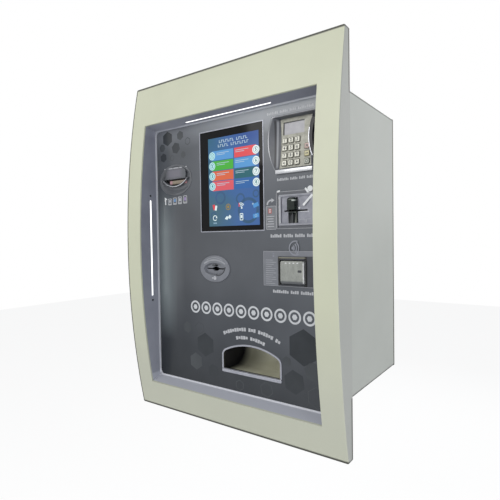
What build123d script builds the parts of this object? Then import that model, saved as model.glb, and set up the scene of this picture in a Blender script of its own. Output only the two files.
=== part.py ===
"""Wall-recessed vending machine for tokens and tickets.

Millimetres, +Z up, the front looks along -Y and +X is to the right of someone facing it.
The origin is the centre of the wall plane: the cabinet's flange rests on the wall at y = 0,
the bowed frame stands in front of it and the cabinet goes into the wall behind it.
"""
import os
from math import atan2, cos, degrees, radians, sin, sqrt, tan

from build123d import *

# ---------------------------------------------------------------- overall sizes
frame_width = 600.0
frame_height = 850.0
frame_edge_depth = 19.0  # at the top and bottom edges
frame_bow = 44.0  # how much further the middle stands out
frame_skin = 4.0
frame_corner = 4.5
frame_edge_round = 2.5

frame_rib = 2.5
frame_boss_r = 6.0
frame_screw_depth = 12.0  # of the bosses' screw holes

frame_overlap_x = 48.5  # from the cabinet's side to the frame's edge
frame_overlap_z = 78.5
cabinet_depth = 418.0
sheet = 2.0
cabinet_corner = 6.0
ledge_width = 10.0
rear_ledge_inset = 13.0  # from the cabinet's rear end to the ledge that the door's lock catches

flange_reach_x = 38.5
flange_reach_z = 65.0
anchor_hole_r = 4.5
screw_r = 2.0
screw_head_r = 3.8
screw_head_depth = 1.8
slip = 0.3  # between pieces that fit inside one another
running = 0.05  # radial, on shafts and pins

# ---------------------------------------------------------------- niche and fascia
light_housing = 38.3  # from the cabinet's top to the niche's top
niche_corner = 1.5
top_slope = 0.229  # rise of the niche's ceiling per mm towards the front
bottom_slope = 0.426
liner_wall = 1.6
fascia_thick = 3.0
fascia_corner = 4.0
liner_lip_width = 2.6  # the liner's rear lip holds the fascia's edge
liner_lip_corner = 11.0
liner_lip_front = 3.6
liner_lip_gap = 0.2  # from the lip to the fascia
liner_seam = 0.2  # how far the lip runs into the liner's wall

led_length = 252.0
led_width = 9.0
led_depth = 6.0
led_proud = 0.5
led_top_y = -14.0
led_side_y = -24.7
led_side_drop = 2.3

# ---------------------------------------------------------------- fascia features
# each one is placed from the niche's nearest edges
screen_x = 2.1
screen_drop = 149.2
screen_width = 186.2
screen_height = 241.4
screen_rim = 2.2
glass_recess = 0.8
rim_proud = 0.8
module_border = 7.0
module_plate = 9.0
module_depth = 29.0
module_back_inset_x = 12.0  # of the driver housing on the module's back
module_back_inset_z = 16.0
module_back_chamfer = 6.0
vent_count = 9
vent_pitch = 18.0
vent_length = 120.0
vent_height = 5.0
vent_depth = 3.0

note_inset = 70.0
note_drop = 134.2
note_dish_width = 116.0
note_dish_height = 80.0
note_dish_depth = 7.0
note_mouth_width = 93.5
note_mouth_height = 21.8
note_mouth_shift = -3.0
note_mouth_top = 4.2
note_mouth_rim = 1.5
note_proud = 1.6
note_round = 1.2
note_seat = 4.0  # how far the bezel covers the fascia all round
note_spigot = 8.0  # from the fascia's back
note_dish_side = 5.0  # how far the dish's floor stays inside its edge
note_dish_end = 10.0
note_hood_width = 72.0
note_hood_round = 5.0
note_hood_proud = 0.6
note_lip_proud = 0.9

reader_x = -49.5
reader_drop = 361.2
reader_width = 93.0
reader_height = 65.5
reader_recess_width = 66.0
reader_recess_height = 28.5
reader_slot_width = 56.0
reader_slot_height = 3.2
reader_hole_width = 21.0
reader_hole_height = 11.0
reader_notch_width = 14.0
reader_notch_height = 3.2
reader_notch_gap = 1.2  # between the hole and the notch above it
reader_proud = 3.0
reader_round = 2.0
reader_seat = 6.0
reader_spigot = 6.0
reader_dish_taper = 2.4
reader_body_width = 72.0
reader_body_height = 44.0
reader_body_depth = 52.0
reader_bore_depth = 30.0
reader_bore_height = 21.0  # the well behind the plate is plain
reader_plug = (40.0, 24.0, 6.0)  # width, height and depth of the connector on its back

pad_inset = 74.5
pad_width = 78.0
pad_height = 108.0
pad_body_depth = 26.0
pad_bottom_depth = 3.0  # from the fascia's front to the pad's lower edge
pad_tilt = 4.3  # degrees, the top edge lies deeper
pad_drop = 138.8  # to the pad's lower edge
pocket_top_width = 104.0
pocket_bottom_width = 89.0
pocket_bulge = 15.0
pocket_top_margin = 4.0
pocket_bottom_margin = 7.0
pocket_lip = 2.4
pocket_sill_height = 6.5
pocket_sill_proud = 5.0
pocket_sill_round = 2.4
pocket_proud = 1.2
pocket_rim = 1.5
pocket_cheek = 4.2  # how far each side's middle leans over the pad's face
pocket_cheek_lift = 0.5  # from the pad's face to the cheeks
pocket_depth = 24.0
pad_back_width = 60.0
pad_back_depth = 14.0
pad_back_inset = 14.0

key_width = 11.0
key_height = 10.4
key_proud = 2.4
key_sunk = 3.0
key_corner = 2.0
key_round = 0.8
key_floor = 1.0  # free depth under a pressed key
function_drop = 0.8  # the function column stands a little lower
key_travel = 1.2
key_pitch_x = 15.6
key_pitch_z = 16.2
key_first_x = -26.0
key_column_gap = 23.3  # from the third number column to the function column
key_first_z = 10.8  # lowest row above the pad's lower edge
pad_window_width = 52.0
pad_window_height = 28.0
pad_window_x = -5.5
pad_window_z = 86.5
pad_window_depth = 2.0
pad_window_thick = 1.6

card_inset = 70.5
card_drop = 229.0
card_plate_width = 99.0
card_plate_height = 80.5
card_bezel_width = 85.0
card_bezel_height = 67.0
card_slot_width = 56.0
card_slot_height = 3.2
card_slot_z = -2.3
card_plate_thick = 1.2
card_plate_corner = 4.0
card_bezel_proud = 4.5
card_bezel_corner = 5.0
card_bezel_chamfer = 1.5
card_seat = 3.0
card_spigot = 2.0
card_dish_side = 7.0  # from the bezel's edge to the dish inside it
card_dish_end = 5.0
card_dish_level = 2.2
throat_width = 22.4
throat_x = -6.6
nose_height = 28.0
nose_proud = 15.0
nose_side_round = 7.5
nose_crown_round = 6.0
tongue_height = 26.0
tongue_proud = 7.0
tongue_round = 4.0
funnel_r = 9.0
funnel_y = -13.0
funnel_tilt = 12.0  # degrees
guide_width = 2.4
guide_proud = 5.5
throat_web = 1.3
card_reader_side = 6.0  # beyond the slot
card_reader_height = 44.0
card_reader_depth = 160.0
card_slot_depth = 92.0
card_motor = (44.0, 12.0, 48.0)  # width, height and length of the drive on top of it
card_motor_y = 30.0

tap_inset = 88.3
tap_drop = 355.7
tap_plate_width = 134.6
tap_plate_height = 77.0
tap_housing_width = 84.0
tap_housing_height = 64.0
tap_housing_x = 13.3
tap_housing_z = -5.0
tap_face_width = 58.0
tap_face_height = 49.5
tap_face_x = -5.3
tap_face_z = -2.3
tap_body_depth = 27.0
tap_plate_thick = 1.6
tap_housing_proud = 2.4
tap_seat = 4.0
tap_collar_proud = 4.2
tap_collar_side = 5.0
tap_collar_end = 4.5
tap_collar_corner = 7.0
tap_gap = 3.0
tap_face_proud = 7.0
tap_face_sunk = 1.5
tap_face_round = 2.5
tap_lamp_at = (20.0, 3.0)
tap_lamp_r = 2.2
tap_lamp_depth = 1.5

tray_x = 53.0
tray_rise = 51.3  # from the niche's bottom to the opening's bottom
tray_width = 163.0
tray_side_height = 42.0
tray_arch = 21.5
tray_shoulder_r = 16.0
tray_depth = 94.0
tray_rim_width = 2.6
tray_sill_height = 7.5
tray_sill_proud = 2.6
tray_sill_round = 1.0
tray_rim_corner = 3.2
tray_rim_proud = 1.4
tray_sheet = 2.0
tray_floor_drop = 8.0
tray_side_room = 6.0
tray_roof_room = 12.5
tray_roof_depth = 26.0
tray_bend_r = 42.0
chute_sheet = 1.5
chute_end_in = 62.0  # from the fascia's back to the chutes' lower ends

# ---------------------------------------------------------------- equipment
shelf_rise = 194.3
shelf_front = 150.0
shelf_length = 240.0
shelf_drop = 12.0
shelf_side = 16.0
hopper_x = -20.0
hopper_y = 232.0
hopper_base_size = 150.0
hopper_base_height = 58.0
hopper_base_corner = 12.0
disc_gap = 2.0  # round the disc, inside the well
well_under = 4.0
shaft_depth = 22.0
grip_half = 40.0  # the hand grips let into the base's sides
grip_depth = 2.0
grip_low = 12.0
grip_high = 30.0
disc_r = 62.0
disc_thick = 6.0
disc_holes = 6
disc_hole_r = 13.5
disc_pitch_r = 41.0
disc_turn = 15.0  # degrees, of the first hole at rest
cone_r = 22.0
cone_tip_r = 9.0
cone_height = 18.0
paddle_r = 3.0
paddle_height = 7.0
paddle_inset = 9.0
shaft_r = 4.0
bowl_foot = 144.0
bowl_foot_corner = 12.0
bowl_height = 100.0
bowl_width = 176.0
bowl_depth = 166.0
bowl_corner = 14.0
bowl_wall = 2.5
bowl_rim = 3.0
exit_x = 22.0  # token exit, from the hopper's centre
exit_width = 50.0
exit_height = 20.0
exit_low = 9.0  # above the shelf

printer_x = 105.0
printer_y = 158.0
printer_width = 82.0
printer_length = 76.0
printer_height = 44.0
printer_wall = 4.0
printer_front = 6.0
printer_floor = 10.0
ticket_gap = (22.0, 16.0)  # its lower and upper edge below the printer's top
platen_r = 6.0
platen_in = 20.0  # from the printer's front
platen_drop = 12.0  # below the printer's top
platen_shaft_r = 2.5
gear_r = 7.0
gear_teeth = 12
gear_width = 4.0
gear_tooth = 1.7
cover_thick = 3.0
cover_pin_r = 2.0
cover_barrel_r = 3.0
cover_hinge_in = 7.0
ear_reach = 5.0
tear_half = 14.0
tear_depth = 8.0
head_length = 20.0
paper_width = 58.0
paper_r = 38.0
paper_core_r = 9.0
spindle_r = 8.9
roll_gap = 12.0
roll_lift = 14.0
arm_margin = 12.0

validator_width = 100.0
validator_height = 112.0
validator_depth = 150.0
validator_drop = 4.0
validator_chamfer = 4.0
validator_slot_width = 80.0
validator_slot_height = 8.0
validator_slot_depth = 90.0
dock_floor = 3.0
dock_wall = 2.0
dock_side = 14.0
dock_over = 4.0
arm_in = 20.0  # of the arm's plate behind the validator's front
arm_foot = 40.0
arm_margin_z = 10.0
cassette_length = 132.0
cassette_round = 4.0
cassette_top_gap = 3.0
handle_width = 60.0
handle_bar = 6.0
handle_reach = 11.0
handle_height = 12.0
handle_drop = 22.0
label_width = 72.0
label_low = 16.0
label_height = 8.0
cassette_ribs = (34.0, 46.0, 58.0)
cassette_rib_height = 4.0

supply_width = 130.0
supply_length = 180.0
supply_height = 58.0
supply_side = 40.0  # from the cabinet's side
supply_y = 150.0
supply_foot_r = 6.0
supply_foot = 6.0
supply_foot_inset = (12.0, 14.0)
supply_vents = 9
supply_vent_pitch = 17.0
supply_vent_width = 5.0
supply_vent_depth = 3.0
supply_vent_margin = 16.0
board_length = 160.0
board_height = 120.0
board_thick = 1.6
board_gap = 12.0  # from the cabinet's side
board_y = 180.0
board_z = -60.0
post_r = 3.5
post_inset = 6.0
gland_bore_r = 6.0
gland_r = 10.0
gland_nut = 14.0  # across its corners / 2
gland_nut_thick = 5.0
gland_hex_thick = 6.0
gland_dome_r = 12.0
gland_dome = 14.0
gland_neck = 12.0
gland_in = (70.0, 60.0)  # from the cabinet's side and rear

# ---------------------------------------------------------------- rear door
door_gap = 0.5
door_return = 10.0
door_return_inset = 4.0
door_return_thick = 1.5
door_corner = 4.0
door_vents = 9
door_vent_pitch = 11.0
door_vent_length = 130.0
door_vent_height = 4.0
hinge_r = 4.0
hinge_pin_r = 2.0
hinge_length = 66.0
hinge_gap = 0.4
hinge_leaf_width = 29.0
hinge_leaf_thick = 2.0
hinge_leaf_depth = 30.0
hinge_spread = 220.0  # hinge centres above and below the middle
lock_inset = 36.0
lock_barrel_r = 9.0
lock_flange = 4.0
lock_nut = 15.0
lock_nut_thick = 5.0
plug_r = 5.0
keyway = (1.6, 7.0)
cam_width = 16.0
cam_length = 30.0
cam_over = 8.0
cam_round = 6.0
cam_thick = 3.0
cam_gap = 0.6  # from the turned cam to the rear ledge

# ---------------------------------------------------------------- worked-out places
cabinet_width = frame_width - 2 * frame_overlap_x
cabinet_height = frame_height - 2 * frame_overlap_z
inner_x = cabinet_width / 2 - sheet
inner_z = cabinet_height / 2 - sheet
niche_x = inner_x - 0.5
niche_bottom = -(inner_z - 0.2)
niche_top = cabinet_height / 2 - light_housing
bow_r = ((frame_height / 2) ** 2 + frame_bow**2) / (2 * frame_bow)
bow_centre_y = bow_r - frame_edge_depth - frame_bow
liner_back = -sheet
shelf_z = niche_bottom + shelf_rise
door_y = cabinet_depth + door_gap
hinge_x = -cabinet_width / 2
hinge_y = door_y + sheet + hinge_r + door_gap

screen_at = (screen_x, niche_top - screen_drop)
note_at = (note_inset - niche_x, niche_top - note_drop)
reader_at = (reader_x, niche_top - reader_drop)
pad_at = (niche_x - pad_inset, niche_top - pad_drop)
card_at = (niche_x - card_inset, niche_top - card_drop)
tap_at = (niche_x - tap_inset, niche_top - tap_drop)
tray_at = (tray_x, niche_bottom + tray_rise)

parts = {}


# ---------------------------------------------------------------- helpers
def block(x0, x1, y0, y1, z0, z1):
    return Pos((x0 + x1) / 2, (y0 + y1) / 2, (z0 + z1) / 2) * Box(x1 - x0, y1 - y0, z1 - z0)


def rod_x(y, z, r, x0, x1):
    return Pos((x0 + x1) / 2, y, z) * Rot(0, 90, 0) * Cylinder(r, x1 - x0)


def rod_y(x, z, r, y0, y1):
    return Pos(x, (y0 + y1) / 2, z) * Rot(90, 0, 0) * Cylinder(r, y1 - y0)


def rod_z(x, y, r, z0, z1):
    return Pos(x, y, (z0 + z1) / 2) * Cylinder(r, z1 - z0)


def front_plane(y):
    """Drawn as seen from the front: local x is +X and local y is +Z."""
    return Plane(origin=(0, y, 0), x_dir=(1, 0, 0), z_dir=(0, -1, 0))


def slab(sketch, y0, y1):
    """A front-view sketch made solid from y0 (nearer the front) to y1."""
    return extrude(front_plane(y1) * sketch, amount=y1 - y0)


def side_slab(sketch, x0, x1):
    """A side-view sketch (local x is +Y, local y is +Z) made solid from x0 to x1."""
    return extrude(Plane.YZ.offset(x0) * sketch, amount=x1 - x0)


def rounded(width, height, r, at=(0, 0)):
    return Pos(*at) * RectangleRounded(width, height, r)


def bow_y(z, inset=0.0):
    return bow_centre_y - sqrt((bow_r - inset) ** 2 - z**2)


def bowed(half_x, half_z, back_y, inset=0.0):
    """Everything behind the bowed front surface, or behind one set back by inset."""
    top = bow_y(half_z, inset)
    outline = [
        Polyline((top, half_z), (back_y, half_z), (back_y, -half_z), (top, -half_z)),
        ThreePointArc((top, -half_z), (bow_y(0, inset), 0), (top, half_z)),
    ]
    return side_slab(make_face(outline), -half_x, half_x)


def niche_outline(y, grow=0.0):
    """The niche's rounded outline where its walls cross the plane at y."""
    out = liner_back - y
    top = niche_top + top_slope * out + grow
    bottom = niche_bottom - bottom_slope * out - grow
    outline = rounded(2 * (niche_x + grow), top - bottom, niche_corner, (0, (top + bottom) / 2))
    return front_plane(y) * outline


def niche_solid(grow=0.0):
    front = -(frame_edge_depth + frame_bow + 8)
    return loft([niche_outline(liner_back, grow), niche_outline(front, grow)])


def anchor_places():
    x = cabinet_width / 2 + flange_reach_x / 2
    z = cabinet_height / 2 + flange_reach_z / 2
    return [(sx * x, sz * z) for sx in (-1, 1) for sz in (-1, 0, 1)]


def frame_screw_places():
    x = cabinet_width / 2 + flange_reach_x / 2
    z = cabinet_height / 2 + flange_reach_z / 2
    sides = [(sx * x, sz * cabinet_height / 4) for sx in (-1, 1) for sz in (-1, 1)]
    ends = [(sx * cabinet_width / 4, sz * z) for sx in (-1, 1) for sz in (-1, 1)]
    return sides + ends


# ---------------------------------------------------------------- frame and niche
def make_front_frame():
    frame = bowed(frame_width / 2, frame_height / 2, 0)
    frame = fillet(frame.edges().filter_by(Axis.Y), frame_corner)
    rim = [e for e in frame.edges() if e.center().Y < -frame_edge_depth / 2 - 1]
    frame = fillet(rim, frame_edge_round)
    hollow = bowed(frame_width / 2 - frame_skin, frame_height / 2 - frame_skin, 1, frame_skin)
    frame -= hollow
    # ribs stand on the skin's inside, and screw bosses reach back to the cabinet's flange
    half_x, half_z = frame_width / 2 - 1, frame_height / 2 - 1
    front, rib_back = -2 * (frame_edge_depth + frame_bow), -sheet - slip - frame_skin
    half_rib = frame_rib / 2
    ribs = Part()
    for z in (-cabinet_height / 3, -cabinet_height / 9, cabinet_height / 9, cabinet_height / 3):
        ribs += block(-half_x, half_x, front, rib_back, z - half_rib, z + half_rib)
    for x in (-cabinet_width / 3, 0, cabinet_width / 3):
        ribs += block(x - half_rib, x + half_rib, front, rib_back, -half_z, half_z)
    for x, z in frame_screw_places():
        ribs += rod_y(x, z, frame_boss_r, front, -sheet)
    inset = frame_skin / 2
    ribs &= bowed(frame_width / 2 - inset, frame_height / 2 - inset, 1, inset)
    ribs -= niche_solid(liner_wall + slip)
    for bar_space in led_bars(2 * slip, 4 * slip):
        ribs -= bar_space
    frame += ribs
    for x, z in frame_screw_places():
        frame -= rod_y(x, z, screw_r + running, -sheet - frame_screw_depth, 1)
    frame -= niche_solid()
    return frame


def make_frame_screws():
    screws = []
    for x, z in frame_screw_places():
        shank = rod_y(x, z, screw_r, 1 - sheet - frame_screw_depth, 0)
        head = Cone(screw_r, screw_head_r, screw_head_depth)
        screws.append(shank + Pos(x, -screw_head_depth / 2, z) * Rot(-90, 0, 0) * head)
    return screws


def make_liner():
    liner = niche_solid(liner_wall) - niche_solid()
    reach = frame_width / 2
    liner &= bowed(reach, frame_height / 2 - frame_skin, liner_back, frame_skin + slip)
    liner = liner.solids().sort_by(SortBy.VOLUME)[-1]
    # the rear lip stands inside the niche and reaches back to the fascia
    front_part = niche_solid(liner_seam) & block(-reach, reach, -liner_lip_front, liner_back, -reach, reach)
    height = niche_top - niche_bottom
    middle = (0, (niche_top + niche_bottom) / 2)
    grown = rounded(2 * (niche_x + liner_seam), height + 2 * liner_seam, cabinet_corner, middle)
    back_part = slab(grown, liner_back, -liner_lip_gap)
    opening = rounded(
        2 * (niche_x - liner_lip_width),
        height - 2 * liner_lip_width,
        liner_lip_corner,
        middle,
    )
    lip = front_part + back_part - slab(opening, -2 * liner_lip_front, 1)
    liner += lip
    for cut in led_bars(slip / 2, 3 * led_depth):
        liner -= cut
    return liner


def led_bars(grow=0.0, extra=0.0):
    """The three light bars, or the slots for them when grown."""
    shape = SlotOverall(led_length + 2 * grow, led_width + 2 * grow)
    thick = led_depth + extra
    slope = sqrt(1 + top_slope**2)
    ceiling_z = niche_top + top_slope * (liner_back - led_top_y)
    ceiling = Plane(
        origin=(0, led_top_y, ceiling_z), x_dir=(1, 0, 0), z_dir=(0, top_slope / slope, 1 / slope)
    )
    top = extrude(ceiling.offset(-led_proud - extra / 2) * shape, amount=thick)
    upright = Rot(0, 0, 90) * shape
    middle = Pos(led_side_y, -led_side_drop) * upright
    left = side_slab(middle, -niche_x - led_depth + led_proud - extra / 2, -niche_x + led_proud + extra / 2)
    right = side_slab(middle, niche_x - led_proud - extra / 2, niche_x + led_depth - led_proud + extra / 2)
    return [top, left, right]


# ---------------------------------------------------------------- fascia outlines
def half_moon(width, drop, grow=0.0):
    """Flat above, round below, from the middle of its flat edge."""
    half = width / 2 + grow
    low = -drop - grow
    return make_face(
        [ThreePointArc((-half, grow), (0, low), (half, grow)), Line((half, grow), (-half, grow))]
    )


def tray_outline(grow=0.0, below=None):
    """Straight bottom and sides under a shallow arch, from the middle of its bottom edge."""
    half = tray_width / 2 + grow
    low = -(grow if below is None else below)
    side = tray_side_height + grow * tan(radians(45) - atan2(2 * tray_arch, tray_width))
    outline = make_face(
        [
            Polyline((-half, side), (-half, low), (half, low), (half, side)),
            ThreePointArc((half, side), (0, tray_side_height + tray_arch + grow), (-half, side)),
        ]
    )
    shoulders = outline.vertices().group_by(Axis.Y)[-1]
    return fillet(shoulders, tray_shoulder_r + grow)


def pocket_outline(grow=0.0):
    """The PIN pad's pocket: narrower below, its sides bulging outwards."""
    top = pad_height + pocket_top_margin + grow
    low = -pocket_bottom_margin - grow
    half_top = pocket_top_width / 2 + grow
    half_low = pocket_bottom_width / 2 + grow
    half_mid = (half_top + half_low) / 2 + pocket_bulge
    mid = (top + low) / 2
    return make_face(
        [
            Line((-half_top, top), (half_top, top)),
            ThreePointArc((half_top, top), (half_mid, mid), (half_low, low)),
            Line((half_low, low), (-half_low, low)),
            ThreePointArc((-half_low, low), (-half_mid, mid), (-half_top, top)),
        ]
    )


def make_fascia():
    edge = rounded(2 * inner_x - 2 * slip, 2 * inner_z - 2 * slip, fascia_corner)
    fascia = slab(edge, 0, fascia_thick)
    card_hole = Rectangle(card_bezel_width - 2 * card_seat, card_bezel_height - 2 * card_seat)
    tap_hole = Rectangle(tap_housing_width - 2 * tap_seat, tap_housing_height - 2 * tap_seat)
    cuts = [
        Pos(*screen_at) * Rectangle(screen_width, screen_height),
        Pos(*note_at) * Ellipse(note_dish_width / 2 - note_seat, note_dish_height / 2 - note_seat),
        Pos(*reader_at) * Ellipse(reader_width / 2 - reader_seat, reader_height / 2 - reader_seat),
        Pos(*pad_at) * pocket_outline(slip),
        Pos(*card_at) * card_hole,
        Pos(tap_at[0] + tap_housing_x, tap_at[1] + tap_housing_z) * tap_hole,
        Pos(*tray_at) * tray_outline(slip),
    ]
    for cut in cuts:
        fascia -= slab(cut, -1, fascia_thick + 1)
    return fascia


# ---------------------------------------------------------------- display
def make_display():
    x, z = screen_at
    opening = Pos(x, z) * Rectangle(screen_width, screen_height)
    rim = rounded(screen_width + 2 * screen_rim, screen_height + 2 * screen_rim, screen_rim, screen_at)
    parts["display_rim"] = slab(rim - opening, -rim_proud, 0)
    glass = Pos(x, z) * Rectangle(screen_width - 2 * slip, screen_height - 2 * slip)
    parts["display_glass"] = slab(glass, glass_recess, fascia_thick)
    half_w = screen_width / 2 + module_border
    half_h = screen_height / 2 + module_border
    shoulder, back = fascia_thick + module_plate, fascia_thick + module_depth
    module = block(x - half_w, x + half_w, fascia_thick, shoulder, z - half_h, z + half_h)
    half_w -= module_back_inset_x
    half_h -= module_back_inset_z
    housing = block(x - half_w, x + half_w, shoulder, back, z - half_h, z + half_h)
    housing = chamfer(housing.edges().group_by(Axis.Y)[-1], module_back_chamfer)
    half_vent = vent_length / 2
    for step in range(vent_count):
        low = z + (step - vent_count // 2) * vent_pitch
        housing -= block(
            x - half_vent, x + half_vent, back - vent_depth, back + 1, low, low + vent_height
        )
    parts["display_module"] = module + housing


# ---------------------------------------------------------------- note reader
def make_note_reader():
    x, z = note_at
    half_w, half_h = note_dish_width / 2, note_dish_height / 2
    seat = Pos(x, z) * Ellipse(half_w - note_seat, half_h - note_seat)
    spigot = Pos(x, z) * Ellipse(half_w - note_seat - slip, half_h - note_seat - slip)
    back = fascia_thick + note_spigot
    bezel = slab(Pos(x, z) * Ellipse(half_w, half_h), -note_proud, 0)
    bezel = fillet(bezel.edges().group_by(Axis.Y)[0], note_round)
    bezel += slab(spigot, 0, back)
    floor = Pos(x, z) * Ellipse(half_w - note_seat - note_dish_side, half_h - note_seat - note_dish_end)
    dish_floor = note_dish_depth - note_proud
    dish = loft([front_plane(-note_proud - 0.1) * seat, front_plane(dish_floor) * floor])
    # the hood over the mouth keeps the upper half of the dish shallow
    mouth_z = z + note_mouth_top
    half_hood = note_hood_width / 2
    hood = block(x - half_hood, x + half_hood, -note_dish_depth, note_dish_depth, mouth_z, z + half_h)
    hood = fillet(hood.edges().filter_by(Axis.Y), note_hood_round)
    hood_edge = Ellipse(half_w - note_seat - 3, half_h - note_seat - 3)
    hood &= slab(Pos(x, z) * hood_edge, -note_hood_proud, back)
    bezel = bezel - dish + hood
    mouth_at = (x + note_mouth_shift, mouth_z)
    lip = slab(Pos(*mouth_at) * half_moon(note_mouth_width, note_mouth_height), -note_lip_proud, back)
    bezel += lip & slab(spigot, -note_dish_depth, back)
    mouth = half_moon(
        note_mouth_width - 4 * note_mouth_rim, note_mouth_height - 1.2 * note_mouth_rim, -note_mouth_rim
    )
    bezel -= slab(Pos(*mouth_at) * mouth, -note_dish_depth, back + 1)
    parts["note_bezel"] = bezel

    half = validator_width / 2
    low = z - validator_height / 2 - validator_drop
    high = low + validator_height
    far = back + validator_depth
    body = block(x - half, x + half, back, far, low, high)
    body = chamfer(body.edges().filter_by(Axis.Y), validator_chamfer)
    slot_z = mouth_z - note_mouth_height / 2
    half_slot, half_gap = validator_slot_width / 2, validator_slot_height / 2
    slot_end = back + validator_slot_depth
    body -= block(x - half_slot, x + half_slot, back - 1, slot_end, slot_z - half_gap, slot_z + half_gap)
    dock_end = far + cassette_length + dock_over
    dock = block(x - half, x + half, far, dock_end, low, low + dock_floor)
    dock += block(x - half, x - half + dock_wall, far, dock_end, low, low + dock_side)
    dock += block(x + half - dock_wall, x + half, far, dock_end, low, low + dock_side)
    # the arm to the cabinet's side carries the unit's weight
    arm_y, arm_low, arm_high = back + arm_in, low + arm_margin_z, high - arm_margin_z
    arm = block(-inner_x, x - half, arm_y, arm_y + sheet, arm_low, arm_high)
    arm += block(-inner_x, sheet - inner_x, arm_y, arm_y + arm_foot, arm_low, arm_high)
    parts["note_validator"] = body + dock + arm

    inner = half - dock_wall - slip
    floor, roof, end = low + dock_floor + slip, high - cassette_top_gap, far + cassette_length
    cassette = block(x - inner, x + inner, far + 1, end, floor, roof)
    cassette = fillet(cassette.edges().filter_by(Axis.Z), cassette_round)
    half_grip, grip_top = handle_width / 2, high - handle_drop
    grip_bottom = grip_top - handle_height
    grip = block(x - half_grip, x + half_grip, end - 1, end + handle_reach, grip_bottom, grip_top)
    half_gap = half_grip - handle_bar
    gap_end = end + handle_reach - handle_bar + 2
    grip -= block(x - half_gap, x + half_gap, end, gap_end, grip_top - 2 * handle_height, high)
    cassette += fillet(grip.edges().group_by(Axis.Y)[-1].filter_by(Axis.Z), handle_bar / 2)
    half_label, label_z = label_width / 2, low + label_low
    cassette -= block(x - half_label, x + half_label, end - 2, end + 1, label_z, label_z + label_height)
    for rib in cassette_ribs:
        rib_z = low + rib
        cassette -= block(
            x - half_label, x + half_label, end - 1.2, end + 1, rib_z, rib_z + cassette_rib_height
        )
    parts["note_cassette"] = cassette


# ---------------------------------------------------------------- key reader
def make_key_reader():
    x, z = reader_at
    half_w, half_h = reader_width / 2, reader_height / 2
    plate = slab(Pos(x, z) * Ellipse(half_w, half_h), -reader_proud, 0)
    plate = fillet(plate.edges().group_by(Axis.Y)[0], reader_round)
    back = fascia_thick + reader_spigot
    inside = reader_seat + slip
    plate += slab(Pos(x, z) * Ellipse(half_w - inside, half_h - inside), 0, back)
    dish_w, dish_h = reader_recess_width / 2, reader_recess_height / 2
    dish_edge = Ellipse(dish_w, dish_h)
    dish_floor = Ellipse(dish_w - reader_dish_taper, dish_h - 0.75 * reader_dish_taper)
    plate -= loft(
        [
            front_plane(-reader_proud - 0.1) * (Pos(x, z) * dish_edge),
            front_plane(reader_proud) * (Pos(x, z) * dish_floor),
        ]
    )
    slot = Rectangle(reader_slot_width, reader_slot_height)
    slot += Ellipse(reader_hole_width / 2, reader_hole_height / 2)
    notch_z = (reader_hole_height + reader_notch_height) / 2 + reader_notch_gap
    slot += Pos(0, notch_z) * Rectangle(reader_notch_width, reader_notch_height)
    plate -= slab(Pos(x, z) * slot, -2 * reader_proud, back + 1)
    parts["key_reader_plate"] = plate
    half_w, half_h = reader_body_width / 2, reader_body_height / 2
    end = back + reader_body_depth
    body = block(x - half_w, x + half_w, back, end, z - half_h, z + half_h)
    body = fillet(body.edges().filter_by(Axis.Y), 5)
    bore = Rectangle(reader_slot_width, reader_bore_height)
    body -= slab(Pos(x, z) * bore, back - 1, back + reader_bore_depth)
    half_w, half_h = reader_plug[0] / 2, reader_plug[1] / 2
    body += block(x - half_w, x + half_w, end, end + reader_plug[2], z - half_h, z + half_h)
    parts["key_reader_body"] = body


# ---------------------------------------------------------------- PIN pad
def pad_plane(lift=0.0):
    """The pad's face: its local origin is the middle of the pad's lower edge."""
    t = radians(pad_tilt)
    normal = (0, -cos(t), sin(t))
    plane = Plane(origin=(pad_at[0], pad_bottom_depth, pad_at[1]), x_dir=(1, 0, 0), z_dir=normal)
    return plane.offset(lift)


def pad_slab(sketch, below, above):
    """Made solid square to the pad's face, from below it to above it."""
    return extrude(pad_plane(-below) * sketch, amount=below + above)


def key_places():
    """Each key's name and its centre on the pad's face."""
    rows = [
        ("1", "2", "3"),
        ("4", "5", "6"),
        ("7", "8", "9"),
        ("left", "0", "right"),
    ]
    places = []
    for row, names in enumerate(rows):
        z = key_first_z + (3 - row) * key_pitch_z
        for column, name in enumerate(names):
            places.append(("pad_key_" + name, key_first_x + column * key_pitch_x, z))
    function_x = key_first_x + 2 * key_pitch_x + key_column_gap
    for row, name in enumerate(("enter", "clear", "cancel")):
        z = key_first_z + row * key_pitch_z - function_drop
        places.append(("pad_key_" + name, function_x, z))
    return places


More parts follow.
